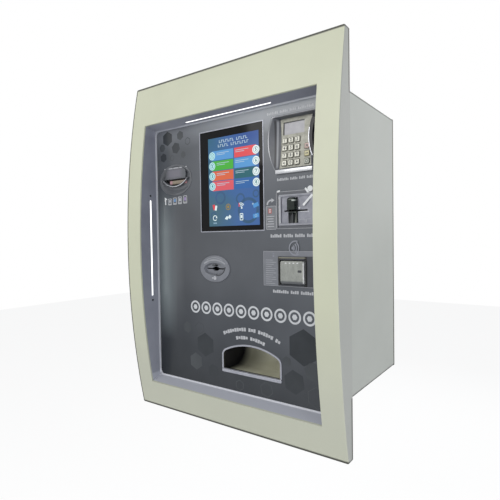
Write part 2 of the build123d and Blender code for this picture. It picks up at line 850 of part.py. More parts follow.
def make_pin_pad():
    x, z = pad_at
    face = Pos(0, pad_height / 2) * Rectangle(pad_width, pad_height)
    hole = Pos(0, pad_height / 2) * Rectangle(pad_width + 2 * slip, pad_height + 2 * slip)
    pocket = slab(Pos(x, z) * pocket_outline(), 0, pocket_depth)
    pocket += slab(Pos(x, z) * pocket_outline(pocket_lip), -pocket_proud, 0)
    sill_half = pocket_bottom_width / 2 + 0.5
    low = z - pocket_bottom_margin - pocket_lip
    sill_top = low + pocket_sill_height
    sill = block(x - sill_half, x + sill_half, -pocket_sill_proud, 0, low, sill_top)
    pocket += fillet(sill.edges().group_by(Axis.Y)[0].filter_by(Axis.X), pocket_sill_round)
    mouth = front_plane(-pocket_proud - 0.1) * (Pos(x, z) * pocket_outline(-pocket_rim))
    # the sides slope down to cheeks that lean over the pad's edges
    half = pad_width / 2 + slip
    low_edge, top_edge, cheek = -slip, pad_height + slip, half - pocket_cheek
    cheeks = make_face(
        [
            Line((-half, top_edge), (half, top_edge)),
            ThreePointArc((half, top_edge), (cheek, pad_height / 2), (half, low_edge)),
            Line((half, low_edge), (-half, low_edge)),
            ThreePointArc((-half, low_edge), (-cheek, pad_height / 2), (-half, top_edge)),
        ]
    )
    pocket -= loft([mouth, pad_plane(pocket_cheek_lift) * cheeks], ruled=True)
    pocket -= pad_slab(hole, pocket_depth + pad_body_depth, pocket_cheek_lift)
    above_sill = block(
        x - pad_height, x + pad_height, -pocket_depth, -pocket_proud, sill_top, z + 2 * pad_height
    )
    pocket -= above_sill
    parts["pinpad_pocket"] = pocket.solids().sort_by(SortBy.VOLUME)[-1]

    body = pad_slab(face, pad_body_depth, 0)
    body = fillet(body.edges().group_by(Axis.Y)[0].filter_by(Axis.X), key_round)
    window_at = Pos(pad_window_x, pad_window_z)
    window_floor = pad_window_depth + pad_window_thick
    body -= pad_slab(window_at * Rectangle(pad_window_width, pad_window_height), window_floor, 1)
    for name, key_x, key_z in key_places():
        well = RectangleRounded(key_width + 2 * slip, key_height + 2 * slip, key_corner)
        body -= pad_slab(Pos(key_x, key_z) * well, key_sunk + key_travel + key_floor, 1)
        cap = RectangleRounded(key_width, key_height, key_corner - slip)
        key = pad_slab(Pos(key_x, key_z) * cap, key_sunk, key_proud)
        parts[name] = fillet(key.edges().group_by(Axis.Y)[0], key_round)
    half_back = pad_back_width / 2
    body += block(
        x - half_back,
        x + half_back,
        pad_body_depth,
        pad_body_depth + pad_back_depth,
        z + pad_back_inset,
        z + pad_height - pad_back_inset,
    )
    parts["pinpad_body"] = body
    glass = Rectangle(pad_window_width - 2 * slip, pad_window_height - 2 * slip)
    parts["pinpad_display"] = pad_slab(window_at * glass, window_floor, -pad_window_depth)


# ---------------------------------------------------------------- card reader
def make_card_reader():
    x, z = card_at
    proud, back = card_bezel_proud, fascia_thick + card_spigot
    plate = rounded(card_plate_width, card_plate_height, card_plate_corner, card_at)
    raised = slab(
        rounded(card_bezel_width, card_bezel_height, card_bezel_corner, card_at), -proud, -card_plate_thick
    )
    raised = chamfer(raised.edges().group_by(Axis.Y)[0], card_bezel_chamfer)
    side = 2 * (card_seat + slip)
    spigot = rounded(card_bezel_width - side, card_bezel_height - side, card_seat, card_at)
    bezel = slab(plate, -card_plate_thick, 0) + raised + slab(spigot, 0, back)
    dish = rounded(
        card_bezel_width - 2 * card_dish_side, card_bezel_height - 2 * card_dish_end, card_seat, card_at
    )
    bezel -= slab(dish, -proud - 1, -card_dish_level)
    throat_at, slot_z = x + throat_x, z + card_slot_z
    half = throat_width / 2
    low, high = slot_z - tongue_height, slot_z + nose_height
    bezel -= block(
        throat_at - half - slip, throat_at + half + slip, -nose_proud, back + 1, low - slip, high + slip
    )
    slot = slab(Pos(x, slot_z) * Rectangle(card_slot_width, card_slot_height), -nose_proud - 1, back + 1)
    parts["card_bezel"] = bezel - slot

    nose = block(throat_at - half, throat_at + half, -nose_proud, back, slot_z, high)
    nose = fillet(nose.edges().group_by(Axis.Y)[0].filter_by(Axis.Z), nose_side_round)
    crown = [e for e in nose.edges() if e.center().Z > high - 0.1 and e.center().Y < -1]
    nose = fillet(crown, nose_crown_round)
    tongue = block(throat_at - half, throat_at + half, -tongue_proud, back, low, slot_z)
    tongue = fillet(tongue.edges().group_by(Axis.Y)[0].filter_by(Axis.Z), tongue_round)
    funnel = Rot(-funnel_tilt, 0, 0) * Cylinder(funnel_r, 2 * tongue_height)
    tongue -= Pos(throat_at, funnel_y, low - tongue_round) * funnel
    half_guide = guide_width / 2
    tongue += block(throat_at - half_guide, throat_at + half_guide, -guide_proud, back, low, slot_z)
    throat = nose + tongue - slot
    # a web at the far side of the slot keeps the throat in one piece
    throat += block(
        throat_at - half,
        throat_at - half + throat_web,
        -card_seat,
        back,
        slot_z - card_slot_height,
        slot_z + card_slot_height,
    )
    parts["card_throat"] = throat

    half, half_h = card_slot_width / 2 + card_reader_side, card_reader_height / 2
    end = back + card_reader_depth
    body = block(x - half, x + half, back, end, slot_z - half_h, slot_z + half_h)
    body = chamfer(body.edges().filter_by(Axis.Y), 3)
    body -= slab(
        Pos(x, slot_z) * Rectangle(card_slot_width, card_slot_height), back - 1, back + card_slot_depth
    )
    half, top, motor_y = card_motor[0] / 2, slot_z + half_h, back + card_motor_y
    body += block(x - half, x + half, motor_y, motor_y + card_motor[2], top, top + card_motor[1])
    parts["card_reader"] = body


# ---------------------------------------------------------------- contactless reader
def make_contactless():
    house_at = (tap_at[0] + tap_housing_x, tap_at[1] + tap_housing_z)
    face_at = (house_at[0] + tap_face_x, house_at[1] + tap_face_z)
    plate = slab(rounded(tap_plate_width, tap_plate_height, 1.5, tap_at), -tap_plate_thick, 0)
    plate -= slab(Pos(*house_at) * Rectangle(tap_housing_width, tap_housing_height), -5, 5)
    parts["contactless_plate"] = plate
    house = slab(
        rounded(tap_housing_width - 2 * slip, tap_housing_height - 2 * slip, 1, house_at),
        -tap_housing_proud,
        0,
    )
    side = 2 * (tap_seat + slip)
    neck = Pos(*house_at) * Rectangle(tap_housing_width - side, tap_housing_height - side)
    house += slab(neck, 0, fascia_thick + tap_body_depth)
    collar = slab(
        rounded(
            tap_face_width + 2 * tap_collar_side,
            tap_face_height + 2 * tap_collar_end,
            tap_collar_corner,
            face_at,
        ),
        -tap_collar_proud,
        -tap_housing_proud,
    )
    edge = Pos(*house_at) * Rectangle(tap_housing_width - 2, tap_housing_height - 2)
    house += collar & slab(edge, -2 * tap_collar_proud, 0)
    recess = rounded(
        tap_face_width + 2 * tap_gap, tap_face_height + 2 * tap_gap - 1, tap_collar_corner - 1, face_at
    )
    house -= slab(recess, -2 * tap_collar_proud, tap_face_sunk)
    parts["contactless_housing"] = house
    face = slab(
        rounded(tap_face_width, tap_face_height, tap_collar_corner - tap_face_round, face_at),
        -tap_face_proud,
        tap_face_sunk,
    )
    face = fillet(face.edges().group_by(Axis.Y)[0], tap_face_round)
    lamp = Pos(face_at[0] + tap_lamp_at[0], face_at[1] + tap_lamp_at[1]) * Circle(tap_lamp_r)
    face -= slab(lamp, -tap_face_proud - 1, -tap_face_proud + tap_lamp_depth)
    parts["contactless_face"] = face


# ---------------------------------------------------------------- tray and chutes
def bent_profile(y0, y1, low, high, bend):
    """A tray's section: open box outline with its rear lower corner rolled to the radius bend."""
    cut = bend * (1 - cos(radians(45)))
    return make_face(
        [
            Polyline((y0, high), (y1, high), (y1, low + bend)),
            ThreePointArc((y1, low + bend), (y1 - cut, low + cut), (y1 - bend, low)),
            Polyline((y1 - bend, low), (y0, low), (y0, high)),
        ]
    )


def make_tray():
    x, z = tray_at
    front, far = fascia_thick + tray_sheet, fascia_thick + tray_depth
    outer = tray_outline(tray_rim_width, tray_sill_height)
    outer = fillet(outer.vertices().group_by(Axis.Y)[0], tray_rim_corner)
    rim = slab(Pos(x, z) * (outer - tray_outline()), -tray_rim_proud, 0)
    lining = tray_outline() - tray_outline(-tray_rim_proud, -tray_rim_proud)
    rim += slab(Pos(x, z) * lining, -tray_rim_proud, front)
    half = tray_width / 2 + tray_rim_width
    sill = block(x - half, x + half, -tray_sill_proud, 0, z - tray_sill_height, z - slip)
    sill = fillet(sill.edges().filter_by(Axis.Y).group_by(Axis.Z)[0], tray_rim_corner)
    rim += fillet(sill.faces().sort_by(Axis.Y)[0].edges(), tray_sill_round)
    parts["tray_rim"] = rim

    floor = z - tray_floor_drop
    roof = z + tray_side_height + tray_arch + tray_roof_room
    half = tray_width / 2 + tray_side_room + tray_sheet
    inner = half - tray_sheet
    shell = side_slab(bent_profile(fascia_thick, far, floor, roof, tray_bend_r), x - half, x + half)
    hollow = bent_profile(
        fascia_thick - 1, far - tray_sheet, floor + tray_sheet, roof + 1, tray_bend_r - tray_sheet
    )
    tray = shell - side_slab(hollow, x - inner, x + inner)
    roof_far = fascia_thick + tray_roof_depth
    tray += block(x - half, x + half, fascia_thick, roof_far, roof - tray_sheet, roof)
    mouth = slab(Pos(x, z) * tray_outline(slip), -1, far)
    tray += block(x - half, x + half, fascia_thick, front, floor, roof) - mouth
    parts["dispensing_tray"] = tray
    return roof


def make_chute(name, x0, x1, top, bottom, wall):
    """An open channel from top (y, z) down to bottom (y, z)."""
    run = atan2(top[1] - bottom[1], top[0] - bottom[0])
    length = sqrt((top[0] - bottom[0]) ** 2 + (top[1] - bottom[1]) ** 2)
    channel = block(x0, x1, 0, length, -chute_sheet, wall)
    channel -= block(x0 + chute_sheet, x1 - chute_sheet, -1, length + 1, 0, wall + 1)
    parts[name] = Pos(0, bottom[0], bottom[1]) * Rot(degrees(run), 0, 0) * channel


# ---------------------------------------------------------------- shelf, hopper, printer
def make_shelf():
    low = shelf_z - sheet
    side = inner_x - slip
    far = shelf_front + shelf_length
    shelf = block(-side, side, shelf_front, far, low, shelf_z)
    shelf += block(-side, side, shelf_front, shelf_front + sheet, low - shelf_drop, low)
    shelf += block(-side, side, far - sheet, far, low - shelf_drop, low)
    for edge, inside in ((-side, sheet - side), (side - sheet, side)):
        shelf += block(edge, inside, shelf_front, far, shelf_z, shelf_z + shelf_side)
    parts["equipment_shelf"] = shelf


def make_hopper():
    x, y = hopper_x, hopper_y
    half = hopper_base_size / 2
    low = shelf_z
    top = low + hopper_base_height
    base = block(x - half, x + half, y - half, y + half, low, top)
    base = fillet(base.edges().filter_by(Axis.Z), hopper_base_corner)
    well_floor = top - disc_thick - well_under
    base -= rod_z(x, y, disc_r + disc_gap, well_floor, top + 1)
    base -= rod_z(x, y, shaft_r + running, well_floor - shaft_depth, well_floor + 1)
    outlet_low = low + exit_low
    base -= block(
        x + exit_x - exit_width / 2,
        x + exit_x + exit_width / 2,
        y - half - 1,
        y - disc_pitch_r + exit_low,
        outlet_low,
        outlet_low + exit_height,
    )
    # tokens drop from the disc into the outlet through a round hole in the well's floor
    base -= rod_z(x + exit_x, y - disc_pitch_r, disc_hole_r + 1, outlet_low + 1, well_floor + 1)
    for side in (x - half, x + half):
        base -= block(
            side - grip_depth, side + grip_depth, y - grip_half, y + grip_half,
            low + grip_low, low + grip_high,
        )
    parts["hopper_base"] = base

    disc_low = well_floor + slip
    disc_top = disc_low + disc_thick
    disc = rod_z(x, y, disc_r, disc_low, disc_top)
    disc += Pos(x, y, disc_top + cone_height / 2) * Cone(cone_r, cone_tip_r, cone_height)
    disc += rod_z(x, y, shaft_r, disc_low - shaft_depth + 2, disc_low)
    for step in range(disc_holes):
        turn = radians(360 / disc_holes * step + disc_turn)
        at = (x + disc_pitch_r * cos(turn), y + disc_pitch_r * sin(turn))
        disc -= rod_z(*at, disc_hole_r, disc_low - 1, disc_top + 1)
    for step in range(disc_holes):
        turn = radians(360 / disc_holes * (step + 0.5) + disc_turn)
        at = (x + (disc_r - paddle_inset) * cos(turn), y + (disc_r - paddle_inset) * sin(turn))
        disc += rod_z(*at, paddle_r, disc_top, disc_top + paddle_height)
    parts["hopper_disc"] = disc

    def bowl_solid(inset):
        foot = RectangleRounded(bowl_foot - 2 * inset, bowl_foot - 2 * inset, bowl_foot_corner - inset)
        mouth = RectangleRounded(bowl_width - 2 * inset, bowl_depth - 2 * inset, bowl_corner - inset)
        lower = Plane.XY.offset(top) * (Pos(x, y) * foot)
        return loft([lower, Plane.XY.offset(top + bowl_height) * (Pos(x, y) * mouth)])

    rim = RectangleRounded(bowl_width + 2 * bowl_rim, bowl_depth + 2 * bowl_rim, bowl_corner + bowl_rim)
    rim -= RectangleRounded(
        bowl_width - 2 * bowl_wall, bowl_depth - 2 * bowl_wall, bowl_corner - bowl_wall
    )
    rim = extrude(Plane.XY.offset(top + bowl_height - bowl_rim) * (Pos(x, y) * rim), amount=bowl_rim)
    parts["hopper_bowl"] = bowl_solid(0) - bowl_solid(bowl_wall) + rim


def make_printer():
    x = printer_x
    half = printer_width / 2
    y0 = printer_y
    y1 = y0 + printer_length
    low = shelf_z
    top = low + printer_height
    inner = half - printer_wall
    platen_at = (y0 + platen_in, top - platen_drop)
    chassis = block(x - half, x + half, y0, y1, low, top)
    chassis -= block(
        x - inner, x + inner, y0 + printer_front, y1 - cover_thick, low + printer_floor, top + 1
    )
    gap = inner - printer_wall
    chassis -= block(
        x - gap, x + gap, y0 - 1, y0 + printer_front + 1, top - ticket_gap[0], top - ticket_gap[1]
    )
    # side arms behind the mechanism hold the paper roll's spindle
    roll_at = (y1 + paper_r + roll_gap, low + paper_r + roll_lift)
    arm_far, arm_top = roll_at[0] + arm_margin, roll_at[1] + arm_margin
    for a, b in ((x - half, x - inner), (x + inner, x + half)):
        chassis += block(a, b, y1 - 1, arm_far, low, arm_top)
    chassis += block(x - half, x + half, y1 - 1, arm_far, low, low + cover_thick)
    chassis += rod_x(*roll_at, spindle_r, x - inner, x + inner)
    chassis -= rod_x(*platen_at, platen_shaft_r + running, x - half - 1, x + half + 1)
    hinge_at = (y1 - cover_hinge_in, top + cover_thick)
    for a, b in ((x - half, x - inner), (x + inner, x + half)):
        ear = rod_x(*hinge_at, ear_reach, a, b)
        ear += block(a, b, hinge_at[0] - ear_reach, hinge_at[0] + ear_reach, top - 2, hinge_at[1])
        chassis += ear
    chassis -= rod_x(*hinge_at, cover_pin_r + running, x - half - 1, x + half + 1)
    parts["printer_chassis"] = chassis

    half_paper = paper_width / 2
    gear_x = x + half + 3
    platen = rod_x(*platen_at, platen_r, x - half_paper, x + half_paper)
    platen += rod_x(*platen_at, platen_shaft_r, x - half - 3, gear_x + gear_width)
    gear = rod_x(*platen_at, gear_r, gear_x, gear_x + gear_width)
    for step in range(gear_teeth):
        notch = Rot(360 / gear_teeth * step, 0, 0) * Pos(0, gear_r, 0)
        gear -= Pos(gear_x + gear_width / 2, *platen_at) * notch * Box(gear_width + 2, 2.4, gear_tooth)
    parts["platen_roller"] = platen + gear

    cover_low = top + slip
    cover_top = cover_low + cover_thick
    ear_room = ear_reach + 1
    cover = block(x - half, x + half, y0, hinge_at[0] + cover_thick, cover_low, cover_top)
    cover -= block(x - half - 1, x - inner + slip, hinge_at[0] - ear_room, y1, low, cover_top + 1)
    cover -= block(x + inner - slip, x + half + 1, hinge_at[0] - ear_room, y1, low, cover_top + 1)
    cover += rod_x(*hinge_at, cover_barrel_r, x - inner + slip, x + inner - slip)
    cover += rod_x(*hinge_at, cover_pin_r, x - half + 0.5, x + half - 0.5)
    cover -= block(x - tear_half, x + tear_half, y0 - 1, y0 + tear_depth, cover_low - 1, cover_top + 1)
    # the print head hangs from the cover over the platen
    head_y = platen_at[0] - printer_wall
    cover += block(
        x - half_paper, x + half_paper, head_y, head_y + head_length, platen_at[1] + platen_r + 1, top + 2
    )
    parts["printer_cover"] = cover

    roll = rod_x(*roll_at, paper_r, x - half_paper, x + half_paper)
    parts["paper_roll"] = roll - rod_x(*roll_at, paper_core_r, x - half, x + half)


# ---------------------------------------------------------------- electrics
def make_electrics():
    foot_top = supply_foot - inner_z
    top = foot_top + supply_height
    x0, y0 = supply_side - inner_x, supply_y
    x1, y1 = x0 + supply_width, y0 + supply_length
    box = block(x0, x1, y0, y1, foot_top, top)
    box = chamfer(box.edges().filter_by(Axis.Z), 2)
    for step in range(supply_vents):
        y = y0 + supply_foot_inset[1] + step * supply_vent_pitch
        a, b = x0 + supply_vent_margin, x1 - supply_vent_margin
        box -= block(a, b, y, y + supply_vent_width, top - supply_vent_depth, top + 1)
    for x in (x0 + supply_foot_inset[0], x1 - supply_foot_inset[0]):
        for y in (y0 + supply_foot_inset[1], y1 - supply_foot_inset[1]):
            box += rod_z(x, y, supply_foot_r, -inner_z, foot_top)
    parts["power_supply"] = box

    face = inner_x - board_gap
    front = face - board_thick
    y0, z0 = board_y, board_z
    board = block(front, face, y0, y0 + board_length, z0, z0 + board_height)
    # a processor, two long connectors, four capacitors and a row of small connectors
    for tall, dy, dz, length, height in ((12, 16, 46, 40, 40), (8, 76, 20, 68, 10), (10, 82, 92, 56, 16)):
        board += block(front - tall, front, y0 + dy, y0 + dy + length, z0 + dz, z0 + dz + height)
    for step in range(4):
        board += rod_x(y0 + 70 + step * 20, z0 + 62, 5, front - 14, front)
    for step in range(6):
        y = y0 + 10 + step * 12
        board += block(front - 7, front, y, y + 8, z0 + 6, z0 + 16)
    parts["controller_board"] = board


def gland_place():
    return (inner_x - gland_in[0], cabinet_depth - gland_in[1])


def make_gland():
    x, y = gland_place()
    floor = -inner_z
    under = floor - sheet
    hex_low, inside_top = under - gland_hex_thick, floor + gland_neck
    bottom = hex_low - gland_dome
    nut = RegularPolygon(gland_nut, 6)
    gland = rod_z(x, y, gland_r, under, inside_top)
    gland += extrude(Plane.XY.offset(hex_low) * (Pos(x, y) * nut), amount=gland_hex_thick)
    dome = rod_z(x, y, gland_dome_r, bottom, hex_low)
    gland += fillet(dome.edges().group_by(Axis.Z)[0], 4)
    gland += extrude(Plane.XY.offset(floor) * (Pos(x, y) * nut), amount=gland_nut_thick)
    gland -= rod_z(x, y, gland_bore_r, bottom - 1, inside_top + 1)
    parts["cable_gland"] = gland


# ---------------------------------------------------------------- cabinet
def board_posts():
    near, far = post_inset, board_length - post_inset
    low, high = post_inset, board_height - post_inset
    return [(board_y + dy, board_z + dz) for dy in (near, far) for dz in (low, high)]


def make_cabinet():
    outer = RectangleRounded(cabinet_width, cabinet_height, cabinet_corner)
    inner = RectangleRounded(2 * inner_x, 2 * inner_z, cabinet_corner - sheet)
    shell = slab(outer - inner, -sheet, cabinet_depth)
    for y, z in board_posts():
        shell += rod_x(y, z, post_r, inner_x - board_gap, inner_x + 0.5)
    x, y = gland_place()
    shell -= rod_z(x, y, gland_r + running, -inner_z - 2 * sheet, -inner_z + 1)
    parts["cabinet_shell"] = shell

    flange = RectangleRounded(
        cabinet_width + 2 * flange_reach_x, cabinet_height + 2 * flange_reach_z, cabinet_corner
    )
    flange = slab(flange - outer, -sheet, 0)
    for x, z in anchor_places():
        flange -= rod_y(x, z, anchor_hole_r, -sheet - 1, 1)
    for x, z in frame_screw_places():
        flange -= rod_y(x, z, screw_r + running, -sheet - 1, 1)
        sink = Cone(screw_r + running, screw_head_r + running, screw_head_depth)
        flange -= Pos(x, -screw_head_depth / 2, z) * Rot(-90, 0, 0) * sink
    parts["wall_flange_ring"] = flange

    # the front ledge carries the fascia, and the door's lock catches the rear one
    ledge = inner - Rectangle(2 * (inner_x - ledge_width), 2 * (inner_z - ledge_width))
    rear = cabinet_depth - rear_ledge_inset
    parts["inner_ledges"] = [slab(ledge, y0, y0 + sheet) for y0 in (fascia_thick, rear - sheet)]


def make_door():
    rear = door_y + sheet
    half_z = cabinet_height / 2
    panel = block(hinge_x + 1, cabinet_width / 2, door_y, rear, -half_z, half_z)
    panel = fillet(panel.edges().filter_by(Axis.Y), door_corner)
    out_x, out_z = 2 * (inner_x - door_return_inset), 2 * (inner_z - door_return_inset)
    ring = Rectangle(out_x, out_z) - Rectangle(out_x - 2 * door_return_thick, out_z - 2 * door_return_thick)
    panel += slab(ring, door_y - door_return, door_y)
    # two banks of vent slots
    for bank in (-1, 1):
        for step in range(door_vents):
            z = bank * half_z / 2 + (step - door_vents // 2) * door_vent_pitch
            slot = Pos(0, z) * SlotOverall(door_vent_length, door_vent_height)
            panel -= slab(slot, door_y - 1, rear + 1)
    x, z = cabinet_width / 2 - lock_inset, 0
    panel -= rod_y(x, z, lock_barrel_r, door_y - 1, rear + 1)
    knuckle = hinge_length / 3
    fixed, pins = [], []
    for side in (-1, 1):
        middle = side * hinge_spread
        bore = rod_z(
            hinge_x, hinge_y, hinge_pin_r + running, middle - hinge_length, middle + hinge_length
        )
        for end in (-1, 1):
            z0 = middle + end * knuckle - knuckle / 2 + hinge_gap
            z1 = z0 + knuckle - 2 * hinge_gap
            leaf_far = hinge_x + 1 + hinge_leaf_width
            leaf = block(hinge_x + 1, leaf_far, rear, rear + hinge_leaf_thick, z0, z1)
            leaf += block(hinge_x, hinge_x + hinge_r, rear, hinge_y, z0, z1)
            leaf += rod_z(hinge_x, hinge_y, hinge_r, z0, z1)
            panel += leaf - bore
        z0, z1 = middle - knuckle / 2, middle + knuckle / 2
        leaf_front = cabinet_depth - hinge_leaf_depth
        leaf = block(hinge_x - hinge_leaf_thick, hinge_x, leaf_front, hinge_y, z0, z1)
        leaf += rod_z(hinge_x, hinge_y, hinge_r, z0, z1)
        fixed.append(leaf - bore)
        half_pin = hinge_length / 2
        pins.append(rod_z(hinge_x, hinge_y, hinge_pin_r, middle - half_pin, middle + half_pin))
    parts["rear_door"] = panel
    parts["hinge_leaves"] = fixed
    parts["hinge_pins"] = pins

    face = rear + 3
    cam_back = cabinet_depth - rear_ledge_inset - sheet - cam_gap
    cam_front = cam_back - cam_thick
    barrel_r = lock_barrel_r - running
    barrel = rod_y(x, z, barrel_r, cam_back + slip, rear)
    barrel += rod_y(x, z, lock_barrel_r + lock_flange, rear, face)
    nut = Pos(x, z) * (RegularPolygon(lock_nut, 6) - Circle(barrel_r))
    barrel += slab(nut, door_y - lock_nut_thick, door_y)
    barrel -= rod_y(x, z, plug_r + running, cam_front, face + 1)
    parts["door_lock"] = barrel
    half_cam = cam_width / 2
    cam = block(x - half_cam, x + half_cam, cam_front, cam_back, z - cam_length, z + cam_over)
    plug = rod_y(x, z, plug_r, cam_front, face)
    plug += fillet(cam.edges().filter_by(Axis.Y), cam_round)
    half_way, half_long = keyway[0] / 2, keyway[1] / 2
    plug -= block(x - half_way, x + half_way, rear, face + 1, z - half_long, z + half_long)
    parts["lock_cam"] = plug


# ---------------------------------------------------------------- assembly
def build():
    parts["front_frame"] = make_front_frame()
    parts["frame_screws"] = make_frame_screws()
    parts["reveal_liner"] = make_liner()
    parts["led_bars"] = led_bars()
    parts["fascia_panel"] = make_fascia()
    make_display()
    make_note_reader()
    make_key_reader()
    make_pin_pad()
    make_card_reader()
    make_contactless()
    roof = make_tray()
    make_shelf()
    make_hopper()
    make_printer()
    chute_y = fascia_thick + chute_end_in
    half_exit = exit_width / 2 + 2
    exit_at = hopper_x + exit_x
    top = (hopper_y - hopper_base_size / 2 - chute_sheet - slip, shelf_z + exit_low - 0.5)
    make_chute("token_chute", exit_at - half_exit, exit_at + half_exit, top, (chute_y, roof - 8), exit_height)
    half_ticket = paper_width / 2 + 4
    top = (printer_y - 2, shelf_z + printer_height - ticket_gap[0] - 2)
    left, right = printer_x - half_ticket, printer_x + half_ticket - 3
    make_chute("ticket_chute", left, right, top, (chute_y, roof - 6), 12)
    make_electrics()
    make_gland()
    make_cabinet()
    make_door()


def save():
    os.makedirs("parts", exist_ok=True)
    for name, shape in parts.items():
        pieces = shape if isinstance(shape, list) else [shape]
        solids = [solid for piece in pieces for solid in piece.solids()]
        whole = solids[0] if len(solids) == 1 else Compound(children=solids)
        whole.label = name
        export_step(whole, os.path.join("parts", name + ".step"))


build()
save()
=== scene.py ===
import bpy
import bmesh
import cmath
import math
from mathutils import Matrix, Vector


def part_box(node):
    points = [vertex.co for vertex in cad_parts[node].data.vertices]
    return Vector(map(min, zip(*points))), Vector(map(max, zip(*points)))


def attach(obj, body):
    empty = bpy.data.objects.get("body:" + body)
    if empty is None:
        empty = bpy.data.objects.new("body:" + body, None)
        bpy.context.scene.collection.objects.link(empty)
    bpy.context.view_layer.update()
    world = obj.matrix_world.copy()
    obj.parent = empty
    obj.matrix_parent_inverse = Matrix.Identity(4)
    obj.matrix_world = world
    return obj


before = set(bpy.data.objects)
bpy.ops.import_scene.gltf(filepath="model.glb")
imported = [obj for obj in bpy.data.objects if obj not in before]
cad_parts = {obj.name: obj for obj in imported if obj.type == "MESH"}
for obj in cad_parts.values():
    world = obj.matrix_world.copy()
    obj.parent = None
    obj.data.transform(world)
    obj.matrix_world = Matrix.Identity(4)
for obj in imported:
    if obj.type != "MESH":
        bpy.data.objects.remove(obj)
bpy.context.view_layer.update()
print("frame loaded")

mm = 0.001
root = "cabinet"
weld = 0.000001  # metres within which two points are one


def linearColour(code):
    # sRGB hex to the linear values that sockets take
    parts = [int(code[i:i + 2], 16) / 255 for i in (1, 3, 5)]
    return tuple(c / 12.92 if c <= 0.04045 else ((c + 0.055) / 1.055) ** 2.4 for c in parts) + (1.0,)


def addNode(tree, kind, inputs=None, stops=(), **settings):
    # an input is a value, a socket, or a node that stands for its first output; a ramp has stops
    node = tree.nodes.new(kind)
    for key, value in settings.items():
        setattr(node, key, value)
    for k, (at, colour) in enumerate(stops):
        node.color_ramp.elements[k].position = at
        node.color_ramp.elements[k].color = linearColour(colour)
    for key, value in (inputs or {}).items():
        if isinstance(value, bpy.types.Node):
            value = value.outputs[0]
        if isinstance(value, bpy.types.NodeSocket):
            tree.links.new(value, node.inputs[key])
        else:
            node.inputs[key].default_value = value
    return node


# tools for shapes; places and sizes are in mm, angles in degrees

def deselectAll():
    if bpy.context.object and bpy.context.object.mode != 'OBJECT':
        bpy.ops.object.mode_set(mode='OBJECT')
    bpy.ops.object.select_all(action='DESELECT')


def takeUp(obj):
    deselectAll()
    obj.select_set(True)
    bpy.context.view_layer.objects.active = obj


def settle(obj):
    # the piece's place goes into its mesh
    takeUp(obj)
    bpy.ops.object.transform_apply(location=True, rotation=True, scale=True)
    return obj


def selectWhole():
    bpy.ops.mesh.select_all(action='SELECT')


def openShape(obj):
    # the piece's place goes into its mesh, and all of it is selected in edit mode
    settle(obj)
    bpy.ops.object.mode_set(mode='EDIT')
    selectWhole()
    return obj


def pickFaces(obj, test):
    # in edit mode, select only the faces that pass the test
    mesh = bmesh.from_edit_mesh(obj.data)
    for items in (mesh.faces, mesh.edges, mesh.verts):
        for item in items:
            item.select = False
    for face in mesh.faces:
        if test(face):
            face.select = True
    mesh.select_flush_mode()
    bmesh.update_edit_mesh(obj.data)


def closeShape(obj):
    # every face outward, then back to object mode
    selectWhole()
    bpy.ops.mesh.remove_doubles(threshold=weld)
    bpy.ops.mesh.normals_make_consistent(inside=False)
    bpy.ops.object.mode_set(mode='OBJECT')
    return obj


def layPlate(x, z, width, height, corner, y, turn=0.0, steps=6):
    # a rounded outline that faces the front, left in edit mode
    deselectAll()
    bpy.ops.mesh.primitive_plane_add(
        size=1, location=(x * mm, y * mm, z * mm), rotation=(math.radians(90), math.radians(-turn), 0))
    obj = bpy.context.object
    obj.scale = (width * mm, height * mm, 1)
    openShape(obj)
    if corner:
        bpy.ops.mesh.bevel(offset=corner * mm, segments=steps, affect='VERTICES')
    return obj


def layDisc(x, z, radius, y, sides, turn):
    # a round or many-sided outline, left in edit mode
    deselectAll()
    bpy.ops.mesh.primitive_circle_add(
        vertices=sides, radius=radius * mm, fill_type='NGON', location=(x * mm, y * mm, z * mm),
        rotation=(math.radians(90), math.radians(-turn), 0))
    return openShape(bpy.context.object)


def hollowOut(obj, band):
    # only a band of the outline stays
    selectWhole()
    bpy.ops.mesh.inset(thickness=band * mm)
    bpy.ops.mesh.delete(type='FACE')
    return obj


def thicken(obj, thick):
    # the outline is drawn out towards the viewer
    selectWhole()
    bpy.ops.mesh.extrude_region_move(TRANSFORM_OT_translate={"value": (0, -thick * mm, 0)})
    return closeShape(obj)


# each of these has its back at y, and turns counter-clockwise

def cutPlate(x, z, width, height, corner=0.0, thick=0.2, y=0.0, turn=0.0, steps=6):
    return thicken(layPlate(x, z, width, height, corner, y, turn, steps), thick)


def cutFrame(x, z, width, height, band, corner, thick=0.2, y=0.0):
    return thicken(hollowOut(layPlate(x, z, width, height, corner, y), band), thick)


def cutDisc(x, z, radius, thick=0.2, y=0.0, sides=40, turn=0.0):
    return thicken(layDisc(x, z, radius, y, sides, turn), thick)


def cutRing(x, z, radius, band, thick=0.2, y=0.0, sides=40, turn=0.0):
    return thicken(hollowOut(layDisc(x, z, radius, y, sides, turn), band), thick)


def cutArc(x, z, radius, band, start, sweep, thick=0.2, y=0.0, steps=14):
    # a curved bar: a small end face spun about the arc's centre, from an angle measured from +X
    deselectAll()
    bpy.ops.mesh.primitive_plane_add(size=1, rotation=(0, 0, 0))
    obj = bpy.context.object
    obj.scale = (band * mm, thick * mm, 1)
    obj.location = (radius * mm, -thick * mm / 2, 0)
    openShape(obj)
    bpy.ops.mesh.spin(steps=steps, angle=math.radians(sweep), center=(0, 0, 0), axis=(0, 1, 0))
    closeShape(obj)
    obj.rotation_euler = (0, math.radians(-start), 0)
    obj.location = (x * mm, y * mm, z * mm)
    return settle(obj)


